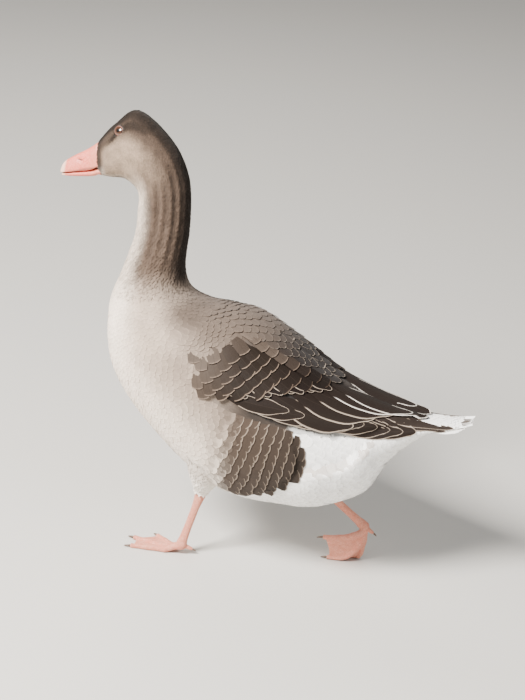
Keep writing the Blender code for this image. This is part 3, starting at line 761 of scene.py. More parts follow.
def plated(mesh, joint, hock, toe_tips):
    """Raises the broad plates: across the front of the shank and the tops of the toes."""
    points, normals = vertex_values(mesh, "co"), vertex_values(mesh, "normal")
    off = points - np.array(joint)
    height = off @ np.array((hock - joint).normalized())
    length = (hock - joint).length
    front = ease(0.1, -0.5, normals[:, 1] + 0.3 * normals[:, 2])
    on_shank = ease(0.004, 0.012, height) * ease(length + 0.004, length - 0.004, height)
    rise = PLATE_RISE * plates(height, PLATE_PITCH) * front * on_shank
    for tip in toe_tips:
        flat = np.array((tip - joint).xy)
        reach = np.linalg.norm(flat)
        along = (off[:, :2] @ flat) / reach
        sideways = np.linalg.norm(off[:, :2] - np.outer(along / reach, flat), axis=1)
        top = ease(0.35, 0.85, normals[:, 2]) * ease(0.0050, 0.0030, sideways)
        top *= ease(0.006, 0.014, along) * (1 - on_shank)
        rise += PLATE_RISE * 0.8 * plates(along, TOE_PLATE_PITCH) * top
    points += normals * rise[:, None]
    points[:, 2] = np.maximum(points[:, 2], 0.0)
    store(mesh.vertices, "co", points)
    mesh.shade_smooth()
    return mesh


scaly, claw_horn = leg_finish(), claw_finish()
for label, (joint, hock, toe_tips) in LEGS.items():
    leg_nodes = ("foot_" + label, "shank_" + label)
    mesh = grown_together("leg_" + label, leg_nodes, LEG_GRAIN, swell=0.0002, smoothing=5)
    new_piece("leg_" + label, plated(mesh, joint, hock, toe_tips), scaly, "leg_skin", *leg_nodes)
    claw_nodes = [f"claw_{label}_{toe}" for toe in ("inner", "middle", "outer", "hind")]
    work = copied(claw_nodes)
    bmesh.ops.dissolve_limit(work, angle_limit=math.radians(2), verts=work.verts, edges=work.edges)
    claws = new_piece("claws_" + label, as_mesh("claws_" + label, work), claw_horn, "claw_horn", *claw_nodes)
    round_off = claws.modifiers.new("round_off", "SUBSURF")
    round_off.levels = round_off.render_levels = 2


# ---------------------------------------------------------------- how a feather is made and laid
# A feather is a thin closed shell, domed over its shaft, with a soft ragged edge. It is rooted in the
# skin, and follows the body's form towards the tail, its tip lying over the roots of the next ones.
LINING = 0.0003                  # the thickness of a broad feather that has its own underside
PATCH = 0.003                    # how large a feather is on the coat's flat map
MILLIMETRES = 1000
chance = np.random.default_rng(20)


class Pattern:
    """One feather's grid of points, shared by all feathers of a kind.

    along runs from 0 at the root to 1 at the tip, across from -1 to 1. width is the half width there as a
    share of the widest, and early the share of the length by which the edge falls short of the middle. A
    lined pattern has a row of points under each row on top, and any other one a flat underside.
    """

    def __init__(self, rows, columns, root_width, tip_width, bow, crowding=1.6, lined=False):
        steps = 1 - (1 - np.arange(rows + 1) / rows) ** crowding
        spread = np.linspace(-1, 1, columns + 1)
        spread = np.sign(spread) * np.abs(spread) ** 0.8
        self.rows, self.columns, self.lined = rows, columns, lined
        inner = spread[1:-1] if lined else spread[:0]
        self.along = np.concatenate([np.repeat(steps, columns + 1), np.repeat(steps, len(inner))])
        self.across = np.concatenate([np.tile(spread, rows + 1), np.tile(inner, rows + 1)])
        self.under = np.arange(len(self.along)) >= (rows + 1) * (columns + 1)
        open_out = root_width + (1 - root_width) * ease(0.0, 0.5, self.along)
        self.width = open_out * (1 - (1 - tip_width) * ease(0.62, 1.0, self.along) ** 1.5)
        self.early = bow * self.across ** 2 * self.along ** 3
        self.at_tip = np.arange(rows * (columns + 1), (rows + 1) * (columns + 1))
        self.faces = self._faces()

    def _under_row(self, row):
        """The points of the underside at a row, from one edge to the other."""
        first = row * (self.columns + 1)
        inner = (self.rows + 1) * (self.columns + 1) + row * (self.columns - 1)
        inside = range(inner, inner + self.columns - 1) if self.lined else ()
        return [first, *inside, first + self.columns]

    def _faces(self):
        wide = self.columns + 1
        faces = []
        for row in range(self.rows):
            near, far = row * wide, (row + 1) * wide
            faces += [(near + j, far + j, far + j + 1, near + j + 1) for j in range(self.columns)]
            near, far = self._under_row(row), self._under_row(row + 1)
            faces += [(near[j], near[j + 1], far[j + 1], far[j]) for j in range(len(near) - 1)]
        for row, turned in ((0, 1), (self.rows, -1)):
            top = list(range(row * wide, (row + 1) * wide))
            faces.append(tuple((top + self._under_row(row)[-2:0:-1])[::turned]))
        return faces


class Sheaf:
    """Feathers of one kind, as arrays with a row for each feather and a column for each point."""

    def __init__(self, pattern, side, **values):
        self.pattern, self.side, self.values = pattern, side, values

    def part(self, chosen):
        """The chosen feathers alone."""
        return Sheaf(self.pattern, self.side, **{name: rows[chosen] for name, rows in self.values.items()})


def spread_evenly(along_range, spacing, around_range=(0, 2 * math.pi), form=body_form):
    """Places on a form, spaced by spacing(along), in the spirals that feathers grow in."""
    along, around = np.linspace(*along_range, 160), np.linspace(*around_range, 120)
    here = surface(*np.meshgrid(along, around, indexing="ij"), form)
    density = here.reach * here.girth / spacing(along)[:, None] ** 2
    per_row = density.mean(1) * (around[-1] - around[0])
    total = np.insert(np.cumsum((per_row[1:] + per_row[:-1]) / 2 * np.diff(along)), 0, 0)
    count = np.arange(int(total[-1]))
    found_along = np.interp(count + 0.5, total, along)
    golden = (math.sqrt(5) - 1) / 2
    sums = np.insert(np.cumsum((density[:, 1:] + density[:, :-1]) / 2, 1), 0, 0, 1)
    sums /= sums[:, -1:]
    row = np.interp(found_along, along, np.arange(len(along)))
    low = np.minimum(row.astype(int), len(along) - 2)
    share = (row - low)[:, None]
    curves = sums[low] * (1 - share) + sums[low + 1] * share
    turns = (count * golden) % 1.0
    return found_along, np.array([np.interp(turn, curve, around) for turn, curve in zip(turns, curves)])


def vary(colours, amount):
    """Colours with each feather a little lighter or darker than the next."""
    return colours * (1 + chance.uniform(-amount, amount, len(colours)))[:, None]


def lay(pattern, along, around, length, half_width, tint, form=body_form, heading=0.0, sway=0.0, turn=0.0,
        root_rise=-0.001, tip_rise=0.0, lift=None, camber=0.0004, cover=None, ragged=0.05, uneven=0.0,
        edge=None, edge_mm=0.0, side=1, roll=0.0, rock=0.0, side_rim=1.0):
    """Lays feathers of one pattern on a form, rooted at places along and around it, as a Sheaf.

    heading is the angle from the form's own line towards its upper edge, and turn how much more it is at
    the tip. cover(along, around) is how far the plumage stands off the form. sway, lift, uneven and rock
    are how much heading, tip_rise, tint and roll vary by chance. side -1 lays the mirror image. side_rim
    is how wide the pale edge is along the sides, as a share of its width at the tip.
    """
    count = len(along)
    if sway:
        heading = heading + chance.normal(0, sway, count)
    if lift is not None:
        tip_rise = tip_rise + chance.uniform(*lift, count)
    tint = np.broadcast_to(tint, (count, 3))
    if uneven:
        tint = vary(tint, uneven)
    if rock:
        roll = roll + chance.normal(0, rock, count)
    length, half_width, heading, turn, root_rise, tip_rise, camber, roll, edge_mm = (
        np.broadcast_to(np.asarray(value, float), count)[:, None]
        for value in (length, half_width, heading, turn, root_rise, tip_rise, camber, roll, edge_mm))

    # each feather's shaft, from its root to its tip
    a, b = along[:, None], around[:, None]
    rows = np.unique(pattern.along)
    shaft = [(a, b)]
    for near, far in zip(rows, rows[1:]):
        now, step = heading + turn * near, length * (far - near)
        a, b = walk(a, b, np.cos(now) * step, np.sin(now) * step, form)
        shaft.append((a, b))
    a, b = (np.concatenate(line, 1)[:, np.searchsorted(rows, pattern.along)] for line in zip(*shaft))

    # the vane's points, beside the shaft
    x = pattern.across * pattern.width * half_width
    back = np.broadcast_to(pattern.early, x.shape).copy()
    tip = pattern.at_tip
    back[:, tip] += chance.uniform(0, 2 * ragged, (count, len(tip))) * 0.6
    back[:, tip[1::2]] += ragged * 0.5
    if pattern.lined:
        back[:, 1 - pattern.columns:] = back[:, tip[1:-1]]
    behind = back * length
    now = heading + turn * pattern.along
    sine, cosine = np.sin(now), np.cos(now)
    a, b = walk(a, b, -x * sine - behind * cosine, x * cosine - behind * sine, form)
    here = surface(a, b, form)
    dome = ease(0.0, 0.3, pattern.along) * (1 - 0.25 * ease(0.6, 1.0, pattern.along))
    height = root_rise + (tip_rise - root_rise) * pattern.along - camber * pattern.across ** 2 * dome
    height = height + roll * x - LINING * pattern.under * (1 - pattern.across ** 2)
    if cover is not None:
        height = height + cover(a, b)
    points = (here.point + here.out * height[..., None]) * (side, 1.0, 1.0)

    # what the finish reads: the place on the vane, how far the rim is, and the two colours
    seed = np.broadcast_to(chance.random(count)[:, None], x.shape)
    vane = np.stack([x * MILLIMETRES, (pattern.along * length - behind) * MILLIMETRES, seed], -1)
    rim = length * (1 - pattern.along)
    if side_rim:
        covered = 0.012 * ease(0.30, 0.10, pattern.along)
        rim = np.minimum(half_width * pattern.width * (1 - np.abs(pattern.across)) / side_rim, rim) + covered
    edge = np.broadcast_to(tint if edge is None else edge, (count, 3))
    tint, edge = (np.repeat(colour[:, None, :], x.shape[1], 1) for colour in (tint, edge))
    edge = np.concatenate([edge, np.broadcast_to(edge_mm, x.shape)[..., None]], -1)
    return Sheaf(pattern, side, points=points, vane=vane, rim=rim * MILLIMETRES,
                 root=np.stack([along, around], -1), tint=np.insert(tint, 3, 1, -1), edge=edge)


def coat(name, sheaves, finish, slot, *stands_for):
    """Joins sheaves of feathers into one piece, with the flat map that its colours are kept on."""
    def joined(layer):
        return np.concatenate([np.concatenate(sheaf.values[layer]) for sheaf in sheaves])

    loops, totals, first_point = [], [], 0
    for sheaf in sheaves:
        count, per = sheaf.values["points"].shape[:2]
        faces = [face[::sheaf.side] for face in sheaf.pattern.faces]
        flat = np.array([index for face in faces for index in face])
        loops.append((flat[None, :] + first_point + np.arange(count)[:, None] * per).ravel())
        totals.append(np.tile([len(face) for face in faces], count))
        first_point += count * per
    loops, totals = np.concatenate(loops), np.concatenate(totals)
    mesh = bpy.data.meshes.new(name)
    mesh.vertices.add(first_point)
    store(mesh.vertices, "co", joined("points"))
    mesh.loops.add(len(loops))
    mesh.loops.foreach_set("vertex_index", loops.astype(np.int32))
    mesh.polygons.add(len(totals))
    mesh.polygons.foreach_set("loop_start", (np.cumsum(totals) - totals).astype(np.int32))
    mesh.update(calc_edges=True)
    for layer, kind, field in (("tint", "FLOAT_COLOR", "color"), ("edge", "FLOAT_COLOR", "color"),
                               ("vane", "FLOAT_VECTOR", "vector"), ("rim", "FLOAT", "value")):
        store(mesh.attributes.new(layer, kind, "POINT").data, field, joined(layer))
    roots = np.concatenate([sheaf.values["root"] for sheaf in sheaves])
    low, high = roots.min(0), roots.max(0)
    flat_map = []
    for sheaf in sheaves:
        spot = 0.01 + (sheaf.values["root"] - low) / np.maximum(high - low, 1e-9) * (0.98 - PATCH)
        size = np.stack([sheaf.pattern.across * 0.5, sheaf.pattern.along], -1) * PATCH
        flat_map.append((spot[:, None, :] + size).reshape(-1, 2))
    store(mesh.uv_layers.new(name="OFBake").uv, "vector", np.concatenate(flat_map)[loops])
    mesh.shade_smooth()
    mesh.set_sharp_from_angle(angle=math.radians(55))
    mesh.validate()
    return new_piece(name, mesh, finish, slot, *stands_for)


def feather_finish(name, shaft=0.0, barbs=0.16, roughness=0.68, sheen=0.05):
    """Barbs slanting off a shaft, with a paler or darker edge where the feather has one.

    Painted shade makes each feather a little lighter at its free edge and darker further in, where the
    next ones cover it.
    """
    finish = Finish(name)
    x, y, seed = finish.split(finish.attribute("vane", out="Vector"))
    away = abs(x)
    turned = {0: (y - away * 0.9) * 2.6, 1: away * 0.16 + (x > 0.0) * 7.0, 2: seed * 90.0}
    lines = finish.noise(finish.node("ShaderNodeCombineXYZ", None, turned), 1.0, 3.0, 0.65)
    rim = finish.attribute("rim", out="Fac")
    edge = finish.attribute("edge")
    width = Wire(finish, edge.socket.node.outputs["Alpha"])
    near_rim = finish.ramp(rim + (lines - 0.5) * 0.9, width * 0.40, width * 1.35 + 0.05, 1.0, 0.0)
    colour = finish.mix(near_rim * (width > 0.01), finish.attribute("tint"), edge)
    # painted shade: lighter at the feather's free edge, darker further in where the next ones cover it
    tone = finish.ramp(lines, 0.25, 0.75, 1 - barbs, 1 + barbs) * finish.ramp(rim, 0.0, 7.0, 1.07, 0.93)
    colour = finish.scale(colour, tone)
    if shaft:
        colour = finish.mix(finish.ramp(away, 0.20, 0.45, shaft, 0.0), colour, shade(46, 38, 32))
    return finish.set(Base_Color=colour, Roughness=roughness, Normal=finish.bump(lines, 0.0005, 0.5),
                      Sheen_Weight=sheen, Sheen_Roughness=0.6, Specular_IOR_Level=0.09)


soft_feather = feather_finish("soft_feather")


# ---------------------------------------------------------------- head and neck feathers
# The face and crown have a close velvet of tiny feathers. Down the neck they get longer and narrower,
# and stand in ridges with furrows between them, with painted shade in the furrows and painted light on
# the ridges.
FACE_FEATHER, NECK_FEATHER = Pattern(3, 4, 0.45, 0.35, 0.25), Pattern(4, 4, 0.45, 0.30, 0.30)
NECK_RIDGES, RIDGE_HEIGHT = 18, 0.0011
HEAD_FROM, HEAD_TO, NECK_TO = -0.05, 3.4, 6.5


def neck_cover(place, angle):
    """How far the plumage stands off the form on head and neck: ridges down the neck's sides."""
    on_neck = ease(2.9, 4.0, place) * ease(6.4, 4.9, place)
    ridge = np.sin(NECK_RIDGES * angle + 1.1 * place)
    return on_neck * RIDGE_HEIGHT * (ridge - 0.6) * ease(1.0, 0.75, np.abs(np.sin(angle)))


def clear_of_eyes(place, angle, length):
    """Whether a small feather, laid here, stays off both eyes."""
    keep = np.ones(len(place), bool)
    here = surface(place, angle)
    for seat in (eye_seat(1), eye_seat(-1)):
        axis = np.array(seat.axis)
        for share in (0.15, 0.6, 1.0):
            offset = here.point + here.ahead * (length * share)[:, None] - np.array(seat.centre)
            off = np.linalg.norm(offset - np.outer(offset @ axis, axis), axis=1)
            keep &= ~((off < LID_RADIUS + 0.0008) & (offset @ axis > 0))
    return keep


def small_coat(name, pattern, start, stop, spacing, length, half_width, lift):
    """A stretch of head or neck feathers. Spacing, length and width are given at its two ends."""
    def taper(place, ends):
        return np.interp(place, (start, stop), ends)

    place, angle = spread_evenly((start, stop), lambda p: taper(p, spacing))
    long = taper(place, length) * chance.uniform(0.85, 1.15, len(place))
    wide = taper(place, half_width) * chance.uniform(0.85, 1.15, len(place))
    keep = clear_of_eyes(place, angle, long)
    place, angle, long, wide = place[keep], angle[keep], long[keep], wide[keep]
    # painted shade and light: each feather darker in the neck's furrows and lighter on its ridges
    furrow = neck_cover(place, angle) / RIDGE_HEIGHT
    furrow_shade_and_light = 1 + 0.20 * (furrow + 0.4 * (furrow < 0))
    rise = taper(place, lift)
    sheaf = lay(pattern, place, angle, long, wide, markings(place, angle) * furrow_shade_and_light[:, None], sway=0.10,
                root_rise=-rise * 1.15, tip_rise=-0.0001, lift=(-0.2 * rise, 0.2 * rise), camber=wide * 0.10,
                cover=neck_cover, ragged=0.10, uneven=0.09, rock=0.05)
    coat(name, [sheaf], soft_feather, "plumage")


small_coat("coat_head", FACE_FEATHER, HEAD_FROM, HEAD_TO, spacing=(0.0019, 0.0028), length=(0.0050, 0.0085),
           half_width=(0.0014, 0.0021), lift=(0.0008, 0.0012))
small_coat("coat_neck", NECK_FEATHER, HEAD_TO, NECK_TO, spacing=(0.0029, 0.0046), length=(0.0095, 0.0160),
           half_width=(0.0022, 0.0037), lift=(0.0013, 0.0014))


# ---------------------------------------------------------------- the folded wings' form
# Each wing is folded flat on the body, thickest along its lower half. The plumage's surface rises
# over it, and eases down to the breast in front of it and to the scapulars above it.
WING_THICK, WING_EDGE = 0.0100, 0.0022
FLANK_BULGE, VENT_BULGE = 0.0042, 0.0060


def wing_cover(place, angle):
    """How far the folded wing stands off the form."""
    share = wing_share(place)
    low, high = wing_edges(share)
    degrees = fold_over(angle)
    edge = np.clip(2 * (degrees - low) / (high - low) - 1, -1, 1)
    crown = ease(0, 0.10, share) * (0.45 + 0.55 * ease(0, 0.5, 1 - share))
    thick = WING_EDGE + (WING_THICK - WING_EDGE) * crown * (1 - edge ** 4) * (0.65 - 0.35 * edge)
    inside = ease(low - 2.5, low + 1.0, degrees) * ease(high + 14, high - 2, degrees)
    return thick * inside * ease(-0.05, 0.05, share) * ease(1.03, 0.99, share)


def body_cover(place, angle):
    """The height of the breast, flanks and vent, whose feathers only climb on the wing at its front.

    The flank bulges a little over vent and thigh, and dives under the wing. The fluffy belly bulges under
    the vent, so that a crease runs forward from under the tail.
    """
    share = wing_share(place)
    low = fold_over(angle)
    climb = wing_cover(place, angle) * (1 - ease(0.04, 0.14, share))
    lowest, _ = wing_edges(share)
    flank = flank_patch(place, angle) * ease(AT["keel"], AT["belly"], place)
    flank *= ease(lowest + 6, lowest - 8, low)
    vent = ease(1, -7, low - crease_angle(place)) * hump(11.0, 12.3, 0.35, place)
    return np.maximum(climb, FLANK_BULGE * flank) + neck_cover(place, angle) + VENT_BULGE * vent


# ---------------------------------------------------------------- breast, belly, back and vent feathers
# Broad soft feathers with faint pale edges, closely overlapping. They are longest over the belly and
# the vent. Under the wings and the scapulars there are none to see, so there are none.
BODY_FEATHER, RUMP_FEATHER = Pattern(6, 6, 0.40, 0.76, 0.14), Pattern(8, 6, 0.40, 0.76, 0.12, lined=True)
BODY_FROM, BREAST_TO, BELLY_TO, BODY_TO = 6.15, 7.6, 9.8, AT["tail_middle"] + 0.40
WING_CLOSING = 0.0024            # how far the breast feathers rise over the wing's front
RUMP_FROM, RUMP_TO, RUMP_SPACING = 12.3, 14.85, 0.0080


def under_wing(place, angle):
    """Whether a root here is well hidden by the folded wing."""
    share = wing_share(place)
    low, high = wing_edges(share)
    degrees = fold_over(angle)
    return (share > 0.03) & (share < 1.0) & (degrees > low + 9 - 9 * (share > 0.6)) & (degrees < high - 4)


def tip_colours(place, angle, length, share):
    """The markings where a feather shows, that share of its length behind its root."""
    return markings(place + share * length / surface(place, angle).reach, angle)


def body_feathers():
    """The feathers of breast, belly, back and vent, which rise where they close over the wing's front."""
    def spacing(place):
        return np.interp(place, (6.1, 7.5, 9.5, 11.5, 14.5), (0.0046, 0.0070, 0.0090, 0.0098, 0.0080))

    place, angle = spread_evenly((BODY_FROM, BODY_TO), spacing)
    low = fold_over(angle)
    seen = ~under_wing(place, angle) & (flank_patch(place, angle) <= 0.6) & ((place <= 12.6) | (low <= 14))
    seen &= (place < AT["tail_root"] + 0.55) | (low < 4)
    place, angle = place[seen], angle[seen]
    long = spacing(place) * chance.uniform(2.7, 3.2, len(place))
    colours = vary(tip_colours(place, angle, long, 0.7), 0.03)
    share = wing_share(place)
    lowest, highest = wing_edges(share)
    over_wing = WING_CLOSING * hump(-0.17, -0.035, 0.05, share)
    over_wing *= hump(lowest - 6, highest + 16, 8, fold_over(angle))
    return lay(BODY_FEATHER, place, angle, long, spacing(place) * 0.86, colours, sway=0.07,
               root_rise=-0.0014 + 0.6 * over_wing, tip_rise=over_wing, lift=(-0.00025, 0.00005),
               camber=0.0005, cover=body_cover, ragged=0.03, edge=colours * 1.12, edge_mm=1.6, rock=0.03)


def rump_feathers():
    """Long soft feathers over the rump, dark in front, and white where they cover the tail's root."""
    place, angle = spread_evenly((RUMP_FROM, RUMP_TO), lambda p: np.full(len(p), RUMP_SPACING),
                                 np.radians([14, 166]))
    clear = ~under_wing(place, angle) | (wing_share(place) > 0.90)
    clear &= fold_over(angle) > np.interp(place, (13.2, 13.9, 14.3, 14.6), (52, 48, 34, 14))
    place, angle = place[clear], angle[clear]
    long = np.interp(place, (12.3, 13.4, 14.2, 14.8), (0.034, 0.040, 0.034, 0.026))
    colours = tip_colours(place, angle, long, 0.6)
    return lay(RUMP_FEATHER, place, angle, long, 0.0078, colours, sway=0.04, root_rise=-0.0016,
               tip_rise=-0.002 * ease(14, 14.8, place), lift=(0, 0.0003), camber=0.0006, ragged=0.02,
               uneven=0.03, edge=colours * 1.1, edge_mm=1.2)


body = body_feathers()
body_place = body.values["root"][:, 0]
coat("coat_breast", [body.part(body_place < BREAST_TO)], soft_feather, "plumage")
coat("coat_belly", [body.part((body_place >= BREAST_TO) & (body_place < BELLY_TO))], soft_feather, "plumage")
coat("coat_vent", [body.part(body_place >= BELLY_TO), rump_feathers()], soft_feather, "plumage")


# ---------------------------------------------------------------- flank feathers
# Broad square-ended feathers in even rows, dark with a pale end each, so that the flank is barred. The
# last rows stand a little proud over the white vent.
FLANK_FEATHER = Pattern(7, 6, 0.45, 0.90, 0.09, lined=True)
FLANK_PITCH, FLANK_STEP = 0.0150, 0.0135        # from bar to bar, and from feather to feather along a bar
FLANK_LENGTH = 0.043


def flank_rows():
    """The flank feathers' roots, in rows from front to rear."""
    places, angles = [], []
    place = AT["keel"] + 0.20
    while place < AT["thighs"] - 0.10:
        here = surface(np.array([place]), np.radians([-25.0]))
        step = math.degrees(FLANK_STEP / here.girth[0])
        degrees = np.arange(-66 + step * 0.5 * (len(places) % 2), 30, step)
        places.append(place - 0.10 * ((degrees + 20) / 45) ** 2)
        angles.append(degrees)
        place += FLANK_PITCH / here.reach[0]
    place, degrees = np.concatenate(places), np.concatenate(angles)
    shift = chance.normal(0, 1, (2, len(place)))
    return place + 0.008 * shift[0], np.radians(degrees + 0.3 * shift[1])


def flank_feathers(side):
    place, angle = flank_rows()
    patch = flank_patch(place + 0.6 * FLANK_LENGTH / surface(place, angle).reach, angle)
    low, _ = wing_edges(wing_share(place))
    chosen = (patch > 0.25) & (np.degrees(angle) < low + 9)
    place, angle, patch = place[chosen], angle[chosen], patch[chosen]
    plain = markings(place, angle)
    strong = ease(0.25, 0.95, patch)
    darker, dim = (np.interp(place, (9.5, 10.9), ends)[:, None] for ends in ((1.10, 0.28), (1.05, 0.38)))
    colours = vary(blend(plain, (FLANK_BROWN * darker, strong)), 0.05)
    edges = blend(plain, (FLANK_EDGE * dim, strong))
    return lay(FLANK_FEATHER, place, angle, FLANK_LENGTH * chance.uniform(0.97, 1.03, len(place)), 0.0112,
               colours, heading=np.radians(2), sway=0.035, root_rise=-0.0030, tip_rise=0.0002,
               lift=(-0.0002, 0.0002), cover=body_cover, ragged=0.015, edge=edges, edge_mm=2.1 * strong,
               side=side, rock=0.015, side_rim=0)


for label, side in SIDES.items():
    coat("coat_flank_" + label, [flank_feathers(side)], soft_feather, "plumage")


# ---------------------------------------------------------------- thigh feathers
# Short pale feathers down the drumsticks, ending in a cuff just above each hock.
KNEES = {"left": Vector((0.062, -0.0520, 0.1780)), "right": Vector((-0.073, 0.0290, 0.1560))}
CUFF_RADIUS, THIGH_RADIUS, THIGH_NARROWING = 0.0112, 0.0370, 0.82
BARE_ABOVE_HOCK = 0.0115
THIGH_FEATHER = Pattern(4, 4, 0.45, 0.40, 0.30)


def thigh_feathers(label):
    """Feathers laid on the drumstick, whose places run down it from 0 at the knee to 1 at the cuff."""
    _, hock, _ = LEGS[label]
    knee = np.array(KNEES[label])
    down = np.array(hock) - knee
    length = np.linalg.norm(down) - BARE_ABOVE_HOCK
    down /= np.linalg.norm(down)
    sideways = np.array([1.0, 0, 0]) - down * down[0]
    sideways /= np.linalg.norm(sideways)
    frontways = np.cross(sideways, down)

    def form(along, around):
        radius = CUFF_RADIUS + (THIGH_RADIUS - CUFF_RADIUS) * np.clip(1 - along, 0.0, 1) ** 0.8
        out = THIGH_NARROWING * np.cos(around)[..., None] * sideways + np.sin(around)[..., None] * frontways
        return knee + down * (length * along)[..., None] + out * radius[..., None]

    def taper(along, *ends):
        return np.interp(along, (0, 1), ends)

    along, around = spread_evenly((0.05, 0.97), lambda a: taper(a, 0.0062, 0.0034), form=form)
    colours = blend(BELLY_WHITE, (BREAST_GREY, ease(0.7, 0.1, along) * 0.5))
    long, wide = taper(along, 0.019, 0.011), taper(along, 0.0050, 0.0026)
    return lay(THIGH_FEATHER, along, around, long, wide, colours, form, sway=0.12, root_rise=-0.0016,
               lift=(0, 0.0008), ragged=0.10, uneven=0.05, rock=0.05)


coat("coat_thighs", [thigh_feathers(label) for label in SIDES], soft_feather, "plumage")


# ---------------------------------------------------------------- wing feathers
# From the shoulder back: rows of small barred coverts, larger dark coverts, long secondaries along the
# lower edge, and the broad tertials over the rump, with the primaries' tips below them.
COVERT = Pattern(6, 6, 0.45, 0.94, 0.07, lined=True)
LONG_FEATHER = Pattern(16, 8, 0.30, 0.42, 0.08, crowding=1.25, lined=True)
COVERT_BROWN, COVERT_EDGE = shade(31, 24, 19), shade(116, 100, 87)
DARK_BROWN, DARK_EDGE = shade(23, 17, 14), shade(70, 57, 47)
FLIGHT_EDGE, PRIMARY_BROWN, TERTIAL_EDGE = shade(152, 138, 124), shade(42, 35, 31), shade(214, 206, 196)
COVERT_START = np.array([-0.070, 0.330])         # y and z of one root, from which the rows are counted
COVERT_SLOPE = math.radians(46)
COVERT_PITCH, COVERT_STEP = 0.0145, 0.0105       # from row to row, and from feather to feather along a row

from_side = lookup(np.arange(7.5, 15.0, 0.02), np.arange(-60, 89, 1.0), flatten=(0, 1, 1))


def heading_for(place, angle, slope):
    """The heading of a feather that slopes down by so many degrees, as seen from the side."""
    here = surface(place, angle)
    y, z = np.cos(np.radians(slope)), -np.sin(np.radians(slope))
    across, ahead = (part[:, 1] * y + part[:, 2] * z for part in (here.across, here.ahead))
    return np.arctan2(across, ahead)


def coverts(side):
    """Rows of coverts over the front two thirds of the wing, seen as slanting bars."""
    sine, cosine = math.sin(COVERT_SLOPE), math.cos(COVERT_SLOPE)
    grids = np.meshgrid(np.arange(-10, 22), np.arange(-18, 24), indexing="ij")
    rows, cols = (grid.reshape(-1, 1) for grid in grids)
    spots = COVERT_START + rows * COVERT_PITCH * np.array([cosine, -sine])
    spots = spots + (cols + 0.5 * (rows % 2)) * COVERT_STEP * np.array([sine, cosine])
    place, angle, off = from_side(np.insert(spots, 0, 0, 1))
    share = wing_share(place)
    low, high = wing_edges(share)
    level = 2 * (np.degrees(angle) - low) / (high - low) - 1
    inside = (off < 0.004) & (share > -0.10) & (share < 0.50) & (level > -0.93) & (level < 1.15)
    inside &= share < 0.21 + 0.17 * level
    place, angle, share, level = place[inside], angle[inside], share[inside], level[inside]
    rear = ease(0.14, 0.32, share)
    slopes = 70 - 30 * ease(-0.08, 0.20, share) - 8 * rear + 14 * ease(0.3, -0.8, level) * (1 - rear)
    top = ease(0.45, 0.90, level) * (1 - rear) ** 2 * 0.8
    front = ease(0.12, -0.06, share + 0.05 * level) * 0.68
    breast = blend(markings(place, angle), (BACK_GREY, 0.9))
    colours = blend(COVERT_BROWN, (DARK_BROWN, rear * 0.9), (breast, front), (BACK_GREY, top))
    edges = blend(COVERT_EDGE, (DARK_EDGE, rear), (breast, front), (BACK_GREY * 1.15, top))
    return lay(COVERT, place, angle, 0.034 + 0.010 * rear, 0.0092 + 0.002 * rear, colours,
               heading=heading_for(place, angle, slopes), sway=0.04, root_rise=-0.0016, tip_rise=0.0016,
               lift=(-0.0002, 0.0002), cover=wing_cover, ragged=0.015, uneven=0.06, edge=edges,
               edge_mm=1.9 - 0.7 * rear, side=side, rock=0.02, side_rim=0)


# Each row of long feathers, from the lowest to the top one, in the order that they overlap: how many,
# the first one's place as shares along the wing and up it from -1 to 1, the step to the next, slopes in
# degrees, lengths, half widths, colour, edges and their widths in millimetres, and heights of root and tip.
LONG_ROWS = {
    "primaries": (5, (0.46, -0.10), (0.03, 0.12), (17, 19), (0.150, 0.150), (0.0085, 0.0085),
                  PRIMARY_BROWN, FLIGHT_EDGE, 0.7, (-0.002, 0.0)),
    "secondaries": (10, (0.14, -0.66), (0.042, 0.045), (14, 15), (0.100, 0.122), (0.0115, 0.0125),
                    WING_BROWN, FLIGHT_EDGE, 1.0, (-0.0024, 0.0002)),
    "greater_coverts": (11, (0.03, -0.50), (0.026, 0.124), (42, 36), (0.062, 0.068), (0.0115, 0.0125),
                        DARK_BROWN, FLIGHT_EDGE, 1.2, (-0.0030, 0.0002)),
    "tertials": (5, (0.27, -0.22), (0.032, 0.28), (25, 16), (0.130, 0.175), (0.0165, 0.0190),
                 WING_BROWN, [FLIGHT_EDGE] * 3 + [TERTIAL_EDGE] * 2, 1.8, (-0.0020, 0.0018)),
}


def long_row(side, count, first, step, slopes, length, half_width, colour, edge, edge_mm, rise):
    """A row of long feathers, each lying on the one below it."""
    number = np.arange(count)
    share, level = (start + move * number for start, move in zip(first, step))
    rank = number / (count - 1)
    slope, long, wide = (np.interp(rank, (0, 1), ends) for ends in (slopes, length, half_width))
    root_rise, tip_rise = (start + 0.0001 * number for start in rise)
    low, high = wing_edges(share)
    place, angle = WING_FROM + (WING_TO - WING_FROM) * share, np.radians(low + (high - low) * (level + 1) / 2)
    return lay(LONG_FEATHER, place, angle, long, wide, colour, heading=heading_for(place, angle, slope),
               sway=0.012, root_rise=root_rise, tip_rise=tip_rise, camber=0.0003, cover=wing_cover,
               ragged=0.006, uneven=0.05, edge=edge, edge_mm=edge_mm, side=side, roll=-0.08)


vane_feather = feather_finish("vane_feather", shaft=0.5, barbs=0.13, roughness=0.58, sheen=0.01)
for label, side in SIDES.items():
    coat("coat_coverts_" + label, [coverts(side)], vane_feather, "wing_plumage")
    long_feathers = [long_row(side, *row) for row in LONG_ROWS.values()]
    coat("coat_flight_" + label, long_feathers, vane_feather, "wing_plumage")


# ---------------------------------------------------------------- scapulars
# Rows of long rounded feathers from the shoulders over the back, which cover the wings' upper edges.
SCAPULAR = Pattern(8, 6, 0.40, 0.76, 0.13, lined=True)
SCAPULARS_FROM, SCAPULARS_TO = 7.70, 10.7


